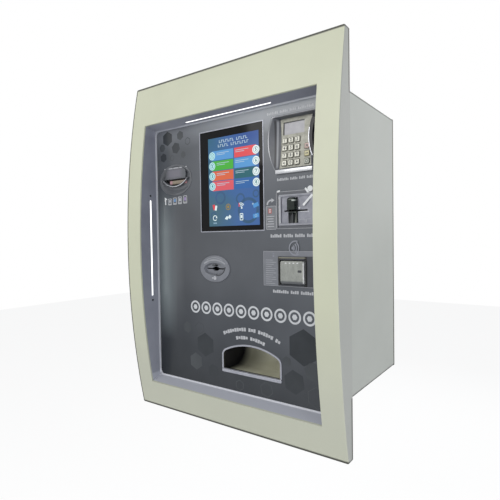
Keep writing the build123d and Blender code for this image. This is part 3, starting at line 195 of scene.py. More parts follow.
def arcThrough(a, b, c):
    # centre, radius, start and sweep of the arc from a over b to c
    a, b, c = (complex(*point) for point in (a, b, c))
    lean = (c - a) / (b - a)
    centre = a + (b - a) * (lean - abs(lean) ** 2) / (2j * lean.imag)
    start, middle, end = (math.degrees(cmath.phase(point - centre)) for point in (a, b, c))
    sweep = (end - start) % 360
    if (middle - start) % 360 > sweep:
        sweep -= 360
    return centre.real, centre.imag, abs(a - centre), start, sweep


def cutArcThrough(points, band, thick, y, steps=24, inward=0.0, begin=0.0, share=1.0):
    # a curved bar through three points, or a share of its sweep
    x, z, radius, start, sweep = arcThrough(*points)
    return cutArc(x, z, radius - inward, band, start + begin * sweep, share * sweep, thick, y, steps)


def cutDigit(text, x, z, height, thick=0.15, y=0.0, weight=0.03):
    # a plain number, slightly bold, made a mesh before it is placed
    deselectAll()
    bpy.ops.object.text_add()
    obj = bpy.context.object
    obj.data.body = text
    obj.data.align_x = 'CENTER'
    obj.data.align_y = 'CENTER'
    obj.data.resolution_u = 4
    obj.data.extrude = thick / height / 2
    obj.data.offset = weight
    bpy.ops.object.convert(target='MESH')
    obj = bpy.context.object
    obj.scale = (height * mm,) * 3
    obj.rotation_euler = (math.radians(90), 0, 0)
    obj.location = (x * mm, (y - thick / 2) * mm, z * mm)
    return settle(obj)


def cutBlock(low, high, edge, steps=3):
    # a box between two corners, its edges rounded
    deselectAll()
    bpy.ops.mesh.primitive_cube_add(size=1, location=[(a + b) / 2 * mm for a, b in zip(low, high)])
    obj = bpy.context.object
    obj.scale = [(b - a) * mm for a, b in zip(low, high)]
    openShape(obj)
    bpy.ops.mesh.bevel(offset=edge * mm, segments=steps, affect='EDGES')
    return closeShape(obj)


def joinAll(pieces):
    deselectAll()
    for piece in pieces:
        piece.select_set(True)
    bpy.context.view_layer.objects.active = pieces[0]
    if len(pieces) > 1:
        bpy.ops.object.join()
    return bpy.context.object


def finish(shape, name, material, body=root):
    # a shape, or a list of shapes made one, becomes a named piece on its body
    obj = joinAll(shape) if isinstance(shape, list) else shape
    obj.name = name
    obj.data.materials.clear()
    obj.data.materials.append(material)
    takeUp(obj)
    bpy.ops.object.shade_smooth_by_angle(angle=math.radians(35))
    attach(obj, body)


# tools for materials

def startMaterial(name):
    material = bpy.data.materials.new(name)
    material.use_nodes = True
    tree = material.node_tree
    tree.nodes.clear()
    return material, tree, addNode(tree, 'ShaderNodeTexCoord').outputs['Object']


def endMaterial(tree, inputs):
    shader = addNode(tree, 'ShaderNodeBsdfPrincipled', inputs)
    addNode(tree, 'ShaderNodeOutputMaterial', {'Surface': shader})


def makeFinish(name, dark, light, patch, grain, rough, bump=0.1, metal=0.0, stretch=(1, 1, 1),
               ior=1.5, spread=0.06, tints=()):
    # two close tones in patches, and a finer grain in the gloss and the bump; patch and grain are in mm,
    # and a grain too fine to show from here is drawn as coarse as it needs to be
    material, tree, place = startMaterial(name)
    lie = addNode(tree, 'ShaderNodeMapping', {'Vector': place, 'Scale': stretch})
    cloud = addNode(tree, 'ShaderNodeTexNoise', {
        'Vector': lie, 'Scale': 1000 / patch, 'Detail': 4.0, 'Roughness': 0.55})
    tone = addNode(tree, 'ShaderNodeValToRGB', {'Fac': cloud}, ((0.3, dark), (0.7, light)))
    fine = addNode(tree, 'ShaderNodeTexNoise', {
        'Vector': lie, 'Scale': 1000 / grain, 'Detail': 3.0, 'Roughness': 0.6})
    gloss = addNode(tree, 'ShaderNodeMapRange', {
        'Value': fine, 'From Min': 0.3, 'From Max': 0.7,
        'To Min': rough - spread, 'To Max': rough + spread})
    relief = addNode(tree, 'ShaderNodeBump', {
        'Height': fine, 'Strength': bump, 'Distance': grain * mm * 0.25})
    endMaterial(tree, {
        'Base Color': tone, 'Roughness': gloss, 'Normal': relief, 'Metallic': metal, 'IOR': ior})
    for tint in tints:
        tintBand(material, *tint)
    return material


def bandMask(tree, bands):
    # 1 inside all the bands and 0 outside; a band is an axis, its two ends and its soft edge in mm,
    # and an axis in bars, such as |X|, is measured both ways from the middle
    place = addNode(tree, 'ShaderNodeTexCoord').outputs['Object']
    split = addNode(tree, 'ShaderNodeSeparateXYZ', {'Vector': place})
    mask = None
    for axis, low, high, soft in bands:
        at = split.outputs[axis.strip('|')]
        if axis.startswith('|'):
            at = addNode(tree, 'ShaderNodeMath', {0: at}, operation='ABSOLUTE')
        rise = addNode(tree, 'ShaderNodeMapRange', {
            'Value': at, 'From Min': (low - soft) * mm, 'From Max': (low + soft) * mm})
        fall = addNode(tree, 'ShaderNodeMapRange', {
            'Value': at, 'From Min': (high - soft) * mm, 'From Max': (high + soft) * mm,
            'To Min': 1.0, 'To Max': 0.0})
        inside = addNode(tree, 'ShaderNodeMath', {0: rise, 1: fall}, operation='MULTIPLY')
        if mask:
            inside = addNode(tree, 'ShaderNodeMath', {0: mask, 1: inside}, operation='MULTIPLY')
        mask = inside
    return mask


def tintBand(material, colour, share, *bands, under='Base Color'):
    # a share of another tone over the finish, or over its light, where the bands meet
    tree = material.node_tree
    mask = bandMask(tree, bands)
    if share < 1:
        mask = addNode(tree, 'ShaderNodeMath', {0: mask, 1: share}, operation='MULTIPLY')
    socket = tree.nodes['Principled BSDF'].inputs[under]
    tint = addNode(tree, 'ShaderNodeMix', {
        0: mask, 6: socket.links[0].from_socket, 7: linearColour(colour)}, data_type='RGBA')
    tree.links.new(tint.outputs[2], socket)


# sprayed gelcoat on a glass-fibre moulding: pale ivory, soft satin gloss, faint orange peel
gelcoat = makeFinish('gelcoatIvory', '#C3C6B0', '#C8CBB5', 160, 5.0, 0.42, 0.05, tints=(
    # painted shade greys it towards its foot, and its returns are a grey close to the box's
    ('#AFB1A9', 0.75, ('Z', -460, -260, 150)),
    ('#9B9D98', 1, ('|X|', 299.1, 400, 0.25)),
    ('#A9ABA6', 1, ('|X|', 299.1, 400, 0.25), ('Z', -460, -20, 200)),
    ('#8A8C88', 1, ('|Z|', 424.85, 440, 0.08)),
    # a dark line of painted shade runs along its outer edges, and on the returns it stops short of the box
    ('#3A3B34', 1, ('|Z|', 419.4, 424.85, 1.4)),
    ('#3C3D36', 1, ('|X|', 299.1, 400, 0.2), ('Y', -5.4, 5, 1.6), ('|Z|', 299, 440, 1.5)),
    ('#43453D', 1, ('X', -299.9, -295.2, 1.0)),
))
# metallic lacquer on the niche's sheet lining: blue grey, satin, faint flake, with painted light making it
# paler below
liningLacquer = makeFinish('metallicLacquerGrey', '#7E818D', '#888B97', 60, 1.2, 0.38, 0.08, tints=(
    # painted light: paler towards the foot, palest on the niche's floor
    ('#A2A5B0', 0.55, ('Z', -420, -120, 130)),
    ('#ADB0BA', 1, ('Z', -420, -336, 2)),
    # the bead where the lining meets the overlay has a painted highlight, brightest below
    ('#C0C3CA', 1, ('Y', -3.9, 5, 0.2)),
    ('#D0D2D9', 1, ('Y', -3.9, 5, 0.2), ('Z', -420, -330, 1)),
    # its upper left is paler
    ('#A0A3AF', 0.8, ('X', -260, -120, 60), ('Z', 296, 330, 6)),
))
# anodised aluminium bead: pale, fine drawn lines along it; the same finish gives the painted highlight on the
# pocket's sill
brightBead = makeFinish('anodisedBeadAndHighlight', '#B9BBC0', '#C9CBCF', 30, 1.0, 0.32, 0.05, metal=0.6)
# textured powder coat on folded sheet: even pale grey, low sheen, fine pebble
powderCoat = makeFinish('powderCoatGrey', '#AFB2AC', '#B5B8B2', 220, 2.4, 0.55, 0.18, tints=(
    # a thin line of painted shade along the folded edges
    ('#3A3C37', 1, ('|Z|', 340.4, 360, 1.4), ('|X|', 246, 300, 1.0)),
    ('#474A42', 1, ('Y', 412.8, 430, 1.8), ('|X|', 251.2, 300, 0.1)),
))
# zinc-plated steel: cool bright grey with a soft spangle
zincSteel = makeFinish('zincPlate', '#9DA1A3', '#B7BABB', 14, 1.0, 0.38, 0.06, metal=0.85)
# painted highlight on the pocket's rim, brightest at mid height and at its upper left
rimLineHighlight = makeFinish('rimLineHighlight', '#777A82', '#84878F', 30, 1.0, 0.34, 0.05, metal=0.3, tints=(
    ('#E4E5EA', 1, ('Z', 196, 246, 14)),
    ('#C9CBD2', 1, ('Z', 279, 290, 1), ('X', 100, 128, 4)),
))
# moulded ABS, spark-eroded texture: near black, low sheen
darkAbs = makeFinish('sparkedAbsBlack', '#1D1E20', '#26272A', 40, 0.9, 0.5, 0.2)
# injection-moulded ABS in graphite grey, satin
bezelAbs = makeFinish('satinAbsGraphite', '#4E5156', '#5B5E66', 45, 1.0, 0.36)
# the note reader's bezel, the same plastic, with painted light making it paler and faintly violet over the
# mouth's hood
noteAbs = makeFinish('satinAbsNote', '#53565B', '#606368', 45, 1.0, 0.36, tints=(
    ('#76747F', 0.7, ('X', -206, -158, 7), ('Z', 180, 201, 4)),
))
# the PIN pad's pocket, the same plastic, with a painted highlight and a streak of painted shade at its left,
# painted shade at its right
pocketAbs = makeFinish('satinAbsPocket', '#4E5156', '#5B5E66', 45, 1.0, 0.34, tints=(
    ('#8E9096', 1, ('X', 129.6, 133.4, 0.7), ('Z', 172, 274, 3)),
    ('#2C2D33', 1, ('X', 124.6, 128.4, 0.8), ('Z', 172, 276, 3)),
    ('#24252C', 1, ('X', 215.4, 240, 0.8), ('Z', 172, 276, 3)),
))
# painted die-cast plate, light warm grey, satin
readerPlate = makeFinish('paintedCastGrey', '#6B6E75', '#797C84', 38, 1.1, 0.4)
# bead-blasted nickel-plated pad: warm grey metal, dull sparkle, a painted highlight along its right edge
padMetal = makeFinish('blastedNickel', '#82827A', '#9F9F96', 9, 0.7, 0.46, 0.14, metal=0.3, tints=(
    ('#C9C8C0', 1, ('X', 212.2, 216, 0.4), ('Z', 205, 252, 10)),
))
# satin cast keys, in two close tones
keyMetal = makeFinish('satinKeyMetal', '#A8A89E', '#C4C4BB', 5, 0.6, 0.36, 0.08, metal=0.3)
# brushed stainless sheet: grain runs along X, soft streaks
brushedSteel = makeFinish(
    'brushedStainless', '#A9AA97', '#BEBFAE', 26, 0.8, 0.4, metal=0.35, stretch=(0.12, 1, 1))
# the tray's sheet: dull and scratched; its pale tone is a painted reflection, and painted shade makes it
# nearly black at its left and dark at its top
traySheet = makeFinish(
    'scuffedTrayPaintedLightShade', '#D2D1B8', '#E6E5D2', 24, 0.8, 0.5, metal=0.1, stretch=(0.3, 1, 1), tints=(
    ('#A3A290', 0.75, ('X', -60, 28, 26)),
    ('#1B1B20', 1, ('X', -60, -22, 12)),
    ('#4A4A42', 0.85, ('Z', -240, -190, 6)),
    ('#8C8B7C', 0.4, ('X', 60, 84, 14), ('Z', -290, -240, 20)),
))
# painted highlight for the pocket's cheek: bright, slightly blue, like polished stainless
cheekHighlightMetal = makeFinish('paintedHighlightSteel', '#B4B6C0', '#C6C8D0', 30, 1.0, 0.2, 0.03, metal=0.6)
# the same steel round the tray, its lining shadowed behind the bright front
trayRimSteel = makeFinish('polishedTrayRim', '#A6A8B3', '#B6B8C2', 30, 1.0, 0.24, 0.03, metal=0.5, tints=(
    ('#3C3C38', 1, ('Y', -0.2, 20, 0.3)),
    ('#4A4A46', 1, ('Z', -293.6, -292, 0.3), ('Y', -1.6, 20, 0.3)),
))
# metallic paint on the contactless face: pale warm grey, satin flake, painted shade at its foot and a painted
# highlight at its right
tapPaint = makeFinish(
    'metallicPaintPale', '#8B8E8A', '#9EA19C', 8, 0.8, 0.3, 0.06, metal=0.2, stretch=(1, 1, 0.35), tints=(
    ('#54575C', 0.9, ('Z', -90, -73.5, 1.6)),
    ('#F0F2F2', 1, ('X', 196.0, 200, 0.4)),
))
# the housing round it: slate ABS, with black painted shadow beside the face and a painted highlight along its
# upper edge
housingAbs = makeFinish('texturedAbsSlate', '#32353C', '#3D4047', 30, 0.9, 0.45, 0.15, tints=(
    ('#0A0B0F', 1, ('X', 197.4, 203.5, 1.0)),
    ('#08090B', 1, ('X', 100, 139.6, 0.6), ('Y', -7, 0, 0.2)),
    ('#8A8878', 1, ('Z', -24.5, -22.4, 0.4), ('X', 134, 199, 2), ('Y', -12, -0.5, 0.2)),
))
# satin steel card bezel with cool blotches from handling
cardMetal = makeFinish('satinCardBezel', '#7F818B', '#92949E', 12, 0.8, 0.34, 0.08, metal=0.2)
# smoked green polycarbonate nose: almost black, glassy, with a painted highlight near its top, grey lower
# down with a painted highlight on a ridge
greenNose = makeFinish('smokedPolycarbonate', '#0C1512', '#16241E', 12, 2.0, 0.12, 0.02, ior=1.42, tints=(
    ('#C6CEC9', 1, ('X', 175.6, 182.4, 0.8), ('Z', 96.6, 99.6, 0.6)),
    ('#4B4D50', 0.75, ('Z', 40, 71, 3), ('X', 158, 176, 3)),
    ('#8E9088', 0.8, ('Z', 46, 72, 3), ('X', 177.5, 181.5, 1.2)),
))
# reflective LCD window in the pad: pale lilac grey
padWindow = makeFinish('reflectiveLcd', '#96969E', '#A5A5AC', 18, 0.6, 0.2, 0.03)
# solder mask over glass-epoxy board: deep green, semi gloss
solderMask = makeFinish('solderMaskGreen', '#12492A', '#1A5C36', 16, 0.8, 0.3, 0.06)
# extruded rubber: charcoal, matt, dusty
blackRubber = makeFinish('extrudedRubber', '#1B1B1C', '#242425', 12, 0.7, 0.7, 0.12)
# thermal paper, wound: warm white with the faint rings of its edge
rollPaper = makeFinish('thermalPaper', '#E4E3DA', '#EFEEE7', 6, 0.5, 0.75, 0.08, stretch=(6, 1, 1))
# cover glass over the black border of the panel: deep, mirror smooth
coverGlass = makeFinish('blackBorderGlass', '#07080A', '#0D0E11', 60, 2.0, 0.07, 0.0, ior=1.24, spread=0.02)
# the display's trim, satin aluminium, duller than the bright bead
rimMetal = makeFinish('satinTrim', '#9194A0', '#A0A3AC', 30, 1.0, 0.32, 0.05, metal=0.5)
# acetal guide block: matt beige, rubbed pink at its two ends
guideBeige = makeFinish('acetalBeige', '#857A6C', '#988E7E', 12, 0.8, 0.45, 0.05, tints=(
    ('#B58F96', 1, ('X', -206, -194, 2)),
    ('#9A6F74', 1, ('X', -152, -140, 3)),
))
# painted shadow in the grooves round the keys, dark and warm
padShade = makeFinish('padGrooveShade', '#39382F', '#47463C', 8, 0.6, 0.5, 0.05)
# screen-printed inks: matt and slightly uneven; the charcoal also serves for painted shade, and the pale for
# painted highlights
ink = {name: makeFinish('screenInk' + name, dark, light, patch, 0.6, rough, 0.04)
       for name, dark, light, patch, rough in (
           ('White', '#DADDE0', '#E8EAEC', 20, 0.45), ('Silver', '#BCBFC4', '#CACDD1', 24, 0.4),
           ('CharcoalAndShade', '#34363A', '#3E4045', 18, 0.3), ('Pale', '#A9ABB0', '#B9BBC0', 16, 0.45),
           ('Red', '#96504C', '#A65A56', 12, 0.4), ('Blue', '#5E86B8', '#7196C4', 12, 0.4),
           ('Violet', '#8C7AA8', '#9A8AB4', 12, 0.4), ('Plate', '#6C6F75', '#777A80', 14, 0.4),
           ('Haze', '#7F828C', '#8B8E98', 14, 0.4), ('Line', '#8D9096', '#9B9EA4', 14, 0.4))}
# two clear tints over the overlay, as glossy as it is
deepTint = makeFinish('overlayTintDeep', '#2F3337', '#3A3E43', 90, 2.0, 0.2, 0.0, ior=1.42)
midTint = makeFinish('overlayTintMid', '#3F4347', '#4A4E52', 90, 2.0, 0.2, 0.0, ior=1.42)
# enamel-filled function keys, glossy, their colours worn pale
redKey, yellowKey, greenKey = [
    makeFinish('keyEnamel' + name, dark, light, 5, 0.6, 0.3, 0.05) for name, dark, light in (
        ('Red', '#B79A92', '#C9B0A8'), ('Yellow', '#B9B388', '#C8C29A'), ('Green', '#A0A69A', '#B2B7AA'))]


def makeGlow(name, low, high, strength, foot=60, head=300, rough=0.12, axis='Z'):
    # a lit face under a glossy cover: its colour runs from low to high between two places along
    # an axis, in mm, and drifts a little in clouds of about 70 mm
    material, tree, place = startMaterial(name)
    split = addNode(tree, 'ShaderNodeSeparateXYZ', {'Vector': place})
    drift = addNode(tree, 'ShaderNodeTexNoise', {'Vector': place, 'Scale': 14.0, 'Detail': 2.0})
    reach = addNode(tree, 'ShaderNodeMapRange', {
        'Value': split.outputs[axis], 'From Min': foot * mm, 'From Max': head * mm})
    mixed = addNode(tree, 'ShaderNodeMath', {0: reach, 1: drift}, operation='ADD')
    tone = addNode(tree, 'ShaderNodeValToRGB', {'Fac': mixed}, ((0.3, low), (1.0, high)))
    endMaterial(tree, {
        'Base Color': (0.01, 0.01, 0.01, 1),  # unlit, it is nearly black
        'Roughness': rough, 'IOR': 1.22,  # low, as an anti-glare cover is
        'Emission Color': tone, 'Emission Strength': strength})
    return material


# opal acrylic over white LEDs: even, just past white
opalLight = makeGlow('opalAcrylicLit', '#F4F8FF', '#FFFFFF', 1.8, -200, 400, 0.4)
# only the strip over the LEDs is bright, and the acrylic beside it fades into the lining
for bar, fades in ((('|X|', 247, 260, 0.2), ((-40, -27.0), (-22.6, -19))),
                   (('Z', 305, 320, 0.2), ((-19.5, -15.2), (-11.6, 0)))):
    for low, high in fades:
        tintBand(opalLight, '#4A4D55', 1, ('Y', low, high, 0.4), bar, under='Emission Color')
# lit LCD pictures behind glass, each colour a little uneven
screenField = makeGlow('lcdField', '#376A7E', '#446BA6', 0.9, -60, 90, axis='X')
tintBand(screenField, '#33569C', 1, ('X', 20, 100, 30), ('Z', 236, 300, 16), under='Emission Color')
tintBand(screenField, '#4E6F78', 0.7, ('X', -100, 0, 40), ('Z', 40, 120, 22), under='Emission Color')
lcd = {name: makeGlow('lcd' + name, low, high, strength) for name, low, high, strength in (
    ('SkyBlue', '#4F97D8', '#62A5E2', 0.85), ('Green', '#3FB036', '#52BC46', 0.85),
    ('Orange', '#DE6042', '#E8704C', 0.85), ('Coral', '#DD5A66', '#EC6670', 0.85),
    ('Red', '#E23A48', '#F05A60', 0.85), ('Gold', '#B89A4A', '#C8B070', 0.6),
    ('Teal', '#2D6770', '#35707C', 0.8), ('DeepBlue', '#3467AE', '#3E74B8', 0.8),
    ('Pale', '#9CC4DE', '#C4DCEC', 0.8), ('Cyan', '#A9E2EA', '#BDEAF0', 0.95),
    ('Shade', '#3A5E78', '#456796', 0.85), ('White', '#DDF1F4', '#EFFAFB', 0.95),
    ('Figure', '#2F8F98', '#3AA0A8', 0.6))}

fascia = {
    "inks": ((0.15, '#1C2025'), (1.0, '#6A6E75')),
    "clouds": 4.5, "screen": 900.0,  # per metre: clouds of about 220 mm, a printed screen of about 1.1 mm
    # a painted reflection makes the overlay paler along these axes, between two places in mm, by so much
    "paintedReflection": (('Z', -360, 330, 0.5), ('X', -160, 260, 0.3), ('Z', 250, 305, 0.35)),
    "roughness": (0.16, 0.24), "ior": 1.42,
}


def makeFascia(d):
    # back-printed polycarbonate overlay: graphite ink seen through a glossy clear face,
    # paler towards the upper right where a reflection is painted in, with a fine printed screen in the gloss
    material, tree, place = startMaterial('backPrintedOverlay')
    split = addNode(tree, 'ShaderNodeSeparateXYZ', {'Vector': place})
    cloud = addNode(tree, 'ShaderNodeTexNoise', {'Vector': place, 'Scale': d["clouds"], 'Detail': 3.0})
    level = addNode(tree, 'ShaderNodeMath', {0: cloud, 1: 0.5}, operation='MULTIPLY')
    for axis, low, high, most in d["paintedReflection"]:
        rise = addNode(tree, 'ShaderNodeMapRange', {
            'Value': split.outputs[axis], 'From Min': low * mm, 'From Max': high * mm, 'To Max': most})
        level = addNode(tree, 'ShaderNodeMath', {0: level, 1: rise}, operation='ADD')
    tone = addNode(tree, 'ShaderNodeValToRGB', {'Fac': level}, d["inks"])
    fine = addNode(tree, 'ShaderNodeTexNoise', {'Vector': place, 'Scale': d["screen"], 'Detail': 2.0})
    gloss = addNode(tree, 'ShaderNodeMapRange', {
        'Value': fine, 'From Min': 0.3, 'From Max': 0.7,
        'To Min': d["roughness"][0], 'To Max': d["roughness"][1]})
    endMaterial(tree, {'Base Color': tone, 'Roughness': gloss, 'IOR': d["ior"]})
    return material


overlay = makeFascia(fascia)
for tint in (
        # painted light from the top light bar on its upper right, and painted shade at its upper left and
        # foot
        ('#9A9FA6', 0.8, ('Z', 272, 330, 22), ('X', -60, 300, 90)),
        ('#34383C', 0.35, ('Z', 215, 262, 30), ('X', -300, -125, 30)),
        ('#1E2226', 0.35, ('Z', -400, -262, 60)),
        # a painted reflection of the side light bar along its left edge
        ('#7A8386', 0.85, ('X', -246, -196, 16), ('Z', -185, 100, 60)),
        ('#6A6E73', 0.5, ('X', -210, -168, 16), ('Z', -150, 80, 60))):
    tintBand(overlay, *tint)
print("materials made")

# the CAD nodes of each material; the rest are keys
nodeFinish = (
    (gelcoat, "front_frame"), (liningLacquer, "reveal_liner"), (opalLight, "led_bars"),
    (overlay, "fascia_panel"), (rimMetal, "display_rim"), (coverGlass, "display_glass"),
    (noteAbs, "note_bezel"), (pocketAbs, "pinpad_pocket"), (padMetal, "pinpad_body"),
    (padWindow, "pinpad_display"), (redKey, "pad_key_cancel"), (yellowKey, "pad_key_clear"),
    (greenKey, "pad_key_enter"), (cardMetal, "card_bezel"), (greenNose, "card_throat"),
    (housingAbs, "contactless_housing"), (tapPaint, "contactless_face"), (trayRimSteel, "tray_rim"),
    (traySheet, "dispensing_tray"), (blackRubber, "platen_roller"), (rollPaper, "paper_roll"),
    (solderMask, "controller_board"), (brushedSteel, "token_chute ticket_chute"),
    (powderCoat, "cabinet_shell wall_flange_ring rear_door"), (bezelAbs, "note_cassette printer_cover"),
    (readerPlate, "key_reader_plate contactless_plate hopper_bowl hopper_disc"),
    (darkAbs, "note_validator key_reader_body hopper_base printer_chassis cable_gland"),
    (zincSteel, "frame_screws display_module card_reader equipment_shelf power_supply inner_ledges "
                "hinge_leaves hinge_pins door_lock lock_cam"),
)
materialOf = {name: material for material, names in nodeFinish for name in names.split()}
for name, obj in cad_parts.items():
    obj.data.materials.clear()
    obj.data.materials.append(materialOf.get(name, keyMetal))
    takeUp(obj)
    bpy.ops.object.shade_smooth_by_angle(angle=math.radians(30))
print("CAD pieces painted")

# camera, lights and floor; places in metres, angles in degrees

view = {"place": (0.6316, -0.7985, 0.0196), "yaw": 35.80, "pitch": -1.55, "roll": -0.87,
        "lens": 30.97, "sensor": 36, "nearest": 0.01}
bpy.ops.object.camera_add(location=view["place"])
camera = bpy.context.object
turn = (Matrix.Rotation(math.radians(view["yaw"]), 4, 'Z')
        @ Matrix.Rotation(math.radians(90 + view["pitch"]), 4, 'X')
        @ Matrix.Rotation(math.radians(view["roll"]), 4, 'Z'))
camera.rotation_euler = turn.to_euler()
camera.data.sensor_width = view["sensor"]
camera.data.lens = view["lens"]
camera.data.clip_start = view["nearest"]
bpy.context.scene.camera = camera
bpy.context.scene.view_settings.view_transform = 'Standard'

# each lamp's place, what it points at, its width, height and power, and its colour
lamps = {
    "keyBox": ((-0.7, -2.3, 1.35), (0, 0, 0.05), 1.7, 1.5, 29, '#FFFDF8'),
    "fillBox": ((2.5, -0.5, 0.25), (0, 0.15, 0), 1.6, 1.6, 20, '#F8FAFF'),
    "lowBox": ((0.75, -2.1, -0.35), (0.05, 0, -0.15), 1.0, 1.0, 5.5, '#FFFEFA'),
    "topBox": ((0.2, 0.6, 2.4), (0, 0.1, 0), 1.6, 1.6, 14, '#FFFFFF'),
    "backBox": ((0.3, 2.6, 0.8), (0, 0.2, 0), 1.6, 1.4, 14, '#FFFFFF'),
}
for name, (place, target, width, height, power, colour) in lamps.items():
    bpy.ops.object.light_add(type='AREA', location=place)
    lamp = bpy.context.object
    lamp.name = name
    lamp.data.shape = 'RECTANGLE'
    lamp.data.size = width
    lamp.data.size_y = height
    lamp.data.energy = power
    lamp.data.color = linearColour(colour)[:3]
    lamp.rotation_euler = (Vector(target) - Vector(place)).to_track_quat('-Z', 'Y').to_euler()

# the room is a soft pale light, and white where the camera, metal or glass sees it
room = {"light": (0.95, 0.97, 1.0, 1), "strength": 0.5}
world = bpy.data.worlds.new('studioWorld')
bpy.context.scene.world = world
world.use_nodes = True
tree = world.node_tree
tree.nodes.clear()
rays = addNode(tree, 'ShaderNodeLightPath')
seen = addNode(tree, 'ShaderNodeMath', {
    0: rays.outputs['Is Camera Ray'], 1: rays.outputs['Is Glossy Ray']}, operation='MAXIMUM')
seen = addNode(tree, 'ShaderNodeMath', {
    0: seen, 1: rays.outputs['Is Transmission Ray']}, operation='MAXIMUM')
soft = addNode(tree, 'ShaderNodeBackground', {'Color': room["light"], 'Strength': room["strength"]})
white = addNode(tree, 'ShaderNodeBackground', {'Color': (1, 1, 1, 1)})
both = addNode(tree, 'ShaderNodeMixShader', {0: seen, 1: soft, 2: white})
addNode(tree, 'ShaderNodeOutputWorld', {'Surface': both})

# the floor is mostly white to the camera, and still takes the object's shadow
ground = {"height": -1.12, "reach": 14.0, "white": 0.8, "paint": (0.86, 0.86, 0.86, 1), "glow": 1.06}
bpy.ops.mesh.primitive_plane_add(size=ground["reach"], location=(0, 0, ground["height"]))
floor = bpy.context.object
floor.name = 'studioFloor'
floorPaint = bpy.data.materials.new('paleFloor')
floorPaint.use_nodes = True
tree = floorPaint.node_tree
tree.nodes.clear()
matt = addNode(tree, 'ShaderNodeBsdfDiffuse', {'Color': ground["paint"]})
plain = addNode(tree, 'ShaderNodeEmission', {'Color': (1, 1, 1, 1), 'Strength': ground["glow"]})
rays = addNode(tree, 'ShaderNodeLightPath')
share = addNode(tree, 'ShaderNodeMath', {
    0: rays.outputs['Is Camera Ray'], 1: ground["white"]}, operation='MULTIPLY')
both = addNode(tree, 'ShaderNodeMixShader', {0: share, 1: matt, 2: plain})
addNode(tree, 'ShaderNodeOutputMaterial', {'Surface': both})
floor.data.materials.append(floorPaint)
print("studio ready")

# from here on, places and sizes are in mm

display = {
    "x": 8.7, "z": 156.0, "width": 149.5, "height": 212.0, "glass": 0.8, "layer": 0.1,
    "firstRow": 219.7, "pitch": 24.4, "tile": 22.6,
    # each column's left and right edge, its discs' place, its words' start, first number and colours
    "left": (-54.0, 10.8, -54.0, 14, 1, ("SkyBlue", "Green", "Orange", "Coral")),
    "right": (13.9, 76.0, 75.6, 3, 5, ("Red", "SkyBlue", "Teal", "DeepBlue")),
    "disc": 9.7, "figure": 10.0,
    "tileWords": ((38, 5.6), (26, 1.6)),  # each bar's length and how far up the tile it is
    "header": ((252.0, (7, 5)), (242.0, (5, 8))),  # each row's height and the letters in its words
    "headerMiddle": 10.5, "letter": 6.6, "wordGap": 6,
    "rings": ((52, 84, 30, 7), (30, 112, 13, 4), (-30, 118, 16, 5), (74, 121, 9, 3), (-52, 76, 9, 3)),
    "iconRows": (95.0, 70.0), "iconColumns": (-47.6, -6.4, 32.6, 73.4),
}


def makeDisplay(d):
    face, layer = d["glass"], d["layer"]
    first, second, third = (face - k * layer for k in (1, 2, 3))
    field = cutPlate(d["x"], d["z"], d["width"], d["height"], thick=layer, y=face)
    finish(field, 'screen_field', screenField)
    discs, figures, words = {"left": [], "right": []}, [], []
    for side, column in discs.items():
        low, high, discX, start, number, tones = d[side]
        for row, tone in enumerate(tones):
            z = d["firstRow"] - row * d["pitch"]
            tile = cutPlate((low + high) / 2, z, high - low, d["tile"], thick=layer, y=first)
            finish(tile, 'tile_%s_%d' % (side, row + 1), lcd[tone])
            column.append(cutDisc(discX, z, d["disc"], layer, second, sides=48))
            figures.append(cutRing(discX, z, d["disc"] * 0.72, 0.9, layer, third))
            figures.append(cutDigit(str(number + row), discX, z, d["figure"], layer, third))
            # plain bars stand where each tile's words would be
            for length, rise in d["tileWords"]:
                words.append(cutPlate(low + start + length / 2, z + rise, length, 1.3, 0.5, 0.08, second))
    for z, counts in d["header"]:
        x = d["headerMiddle"] - (sum(counts) * d["letter"] + d["wordGap"]) / 2
        for count in counts:
            for k in range(count):
                # a thin upright and a short bar, as light as a slim face
                words.append(cutPlate(x + 1.4, z, 1.7, 6.8, 0.3, 0.1, first))
                words.append(cutPlate(x + 3.9, z + (2.5 if k % 2 else -2.5), 3.4, 1.5, 0.3, 0.1, first))
                x += d["letter"]
            x += d["wordGap"]
    # wide dim rings drift through the empty lower half
    rings = [cutRing(x, z, radius, band, 0.06, first, sides=56) for x, z, radius, band in d["rings"]]
    for name, pieces, tone in (
            ("discs", discs["right"], "White"), ("cool_discs", discs["left"], "Cyan"),
            ("words", words, "Pale"), ("rings", rings, "Shade"), ("figures", figures, "Figure")):
        finish(pieces, 'screen_' + name, lcd[tone])
    makeIcons(d, second)
    print("display drawn")


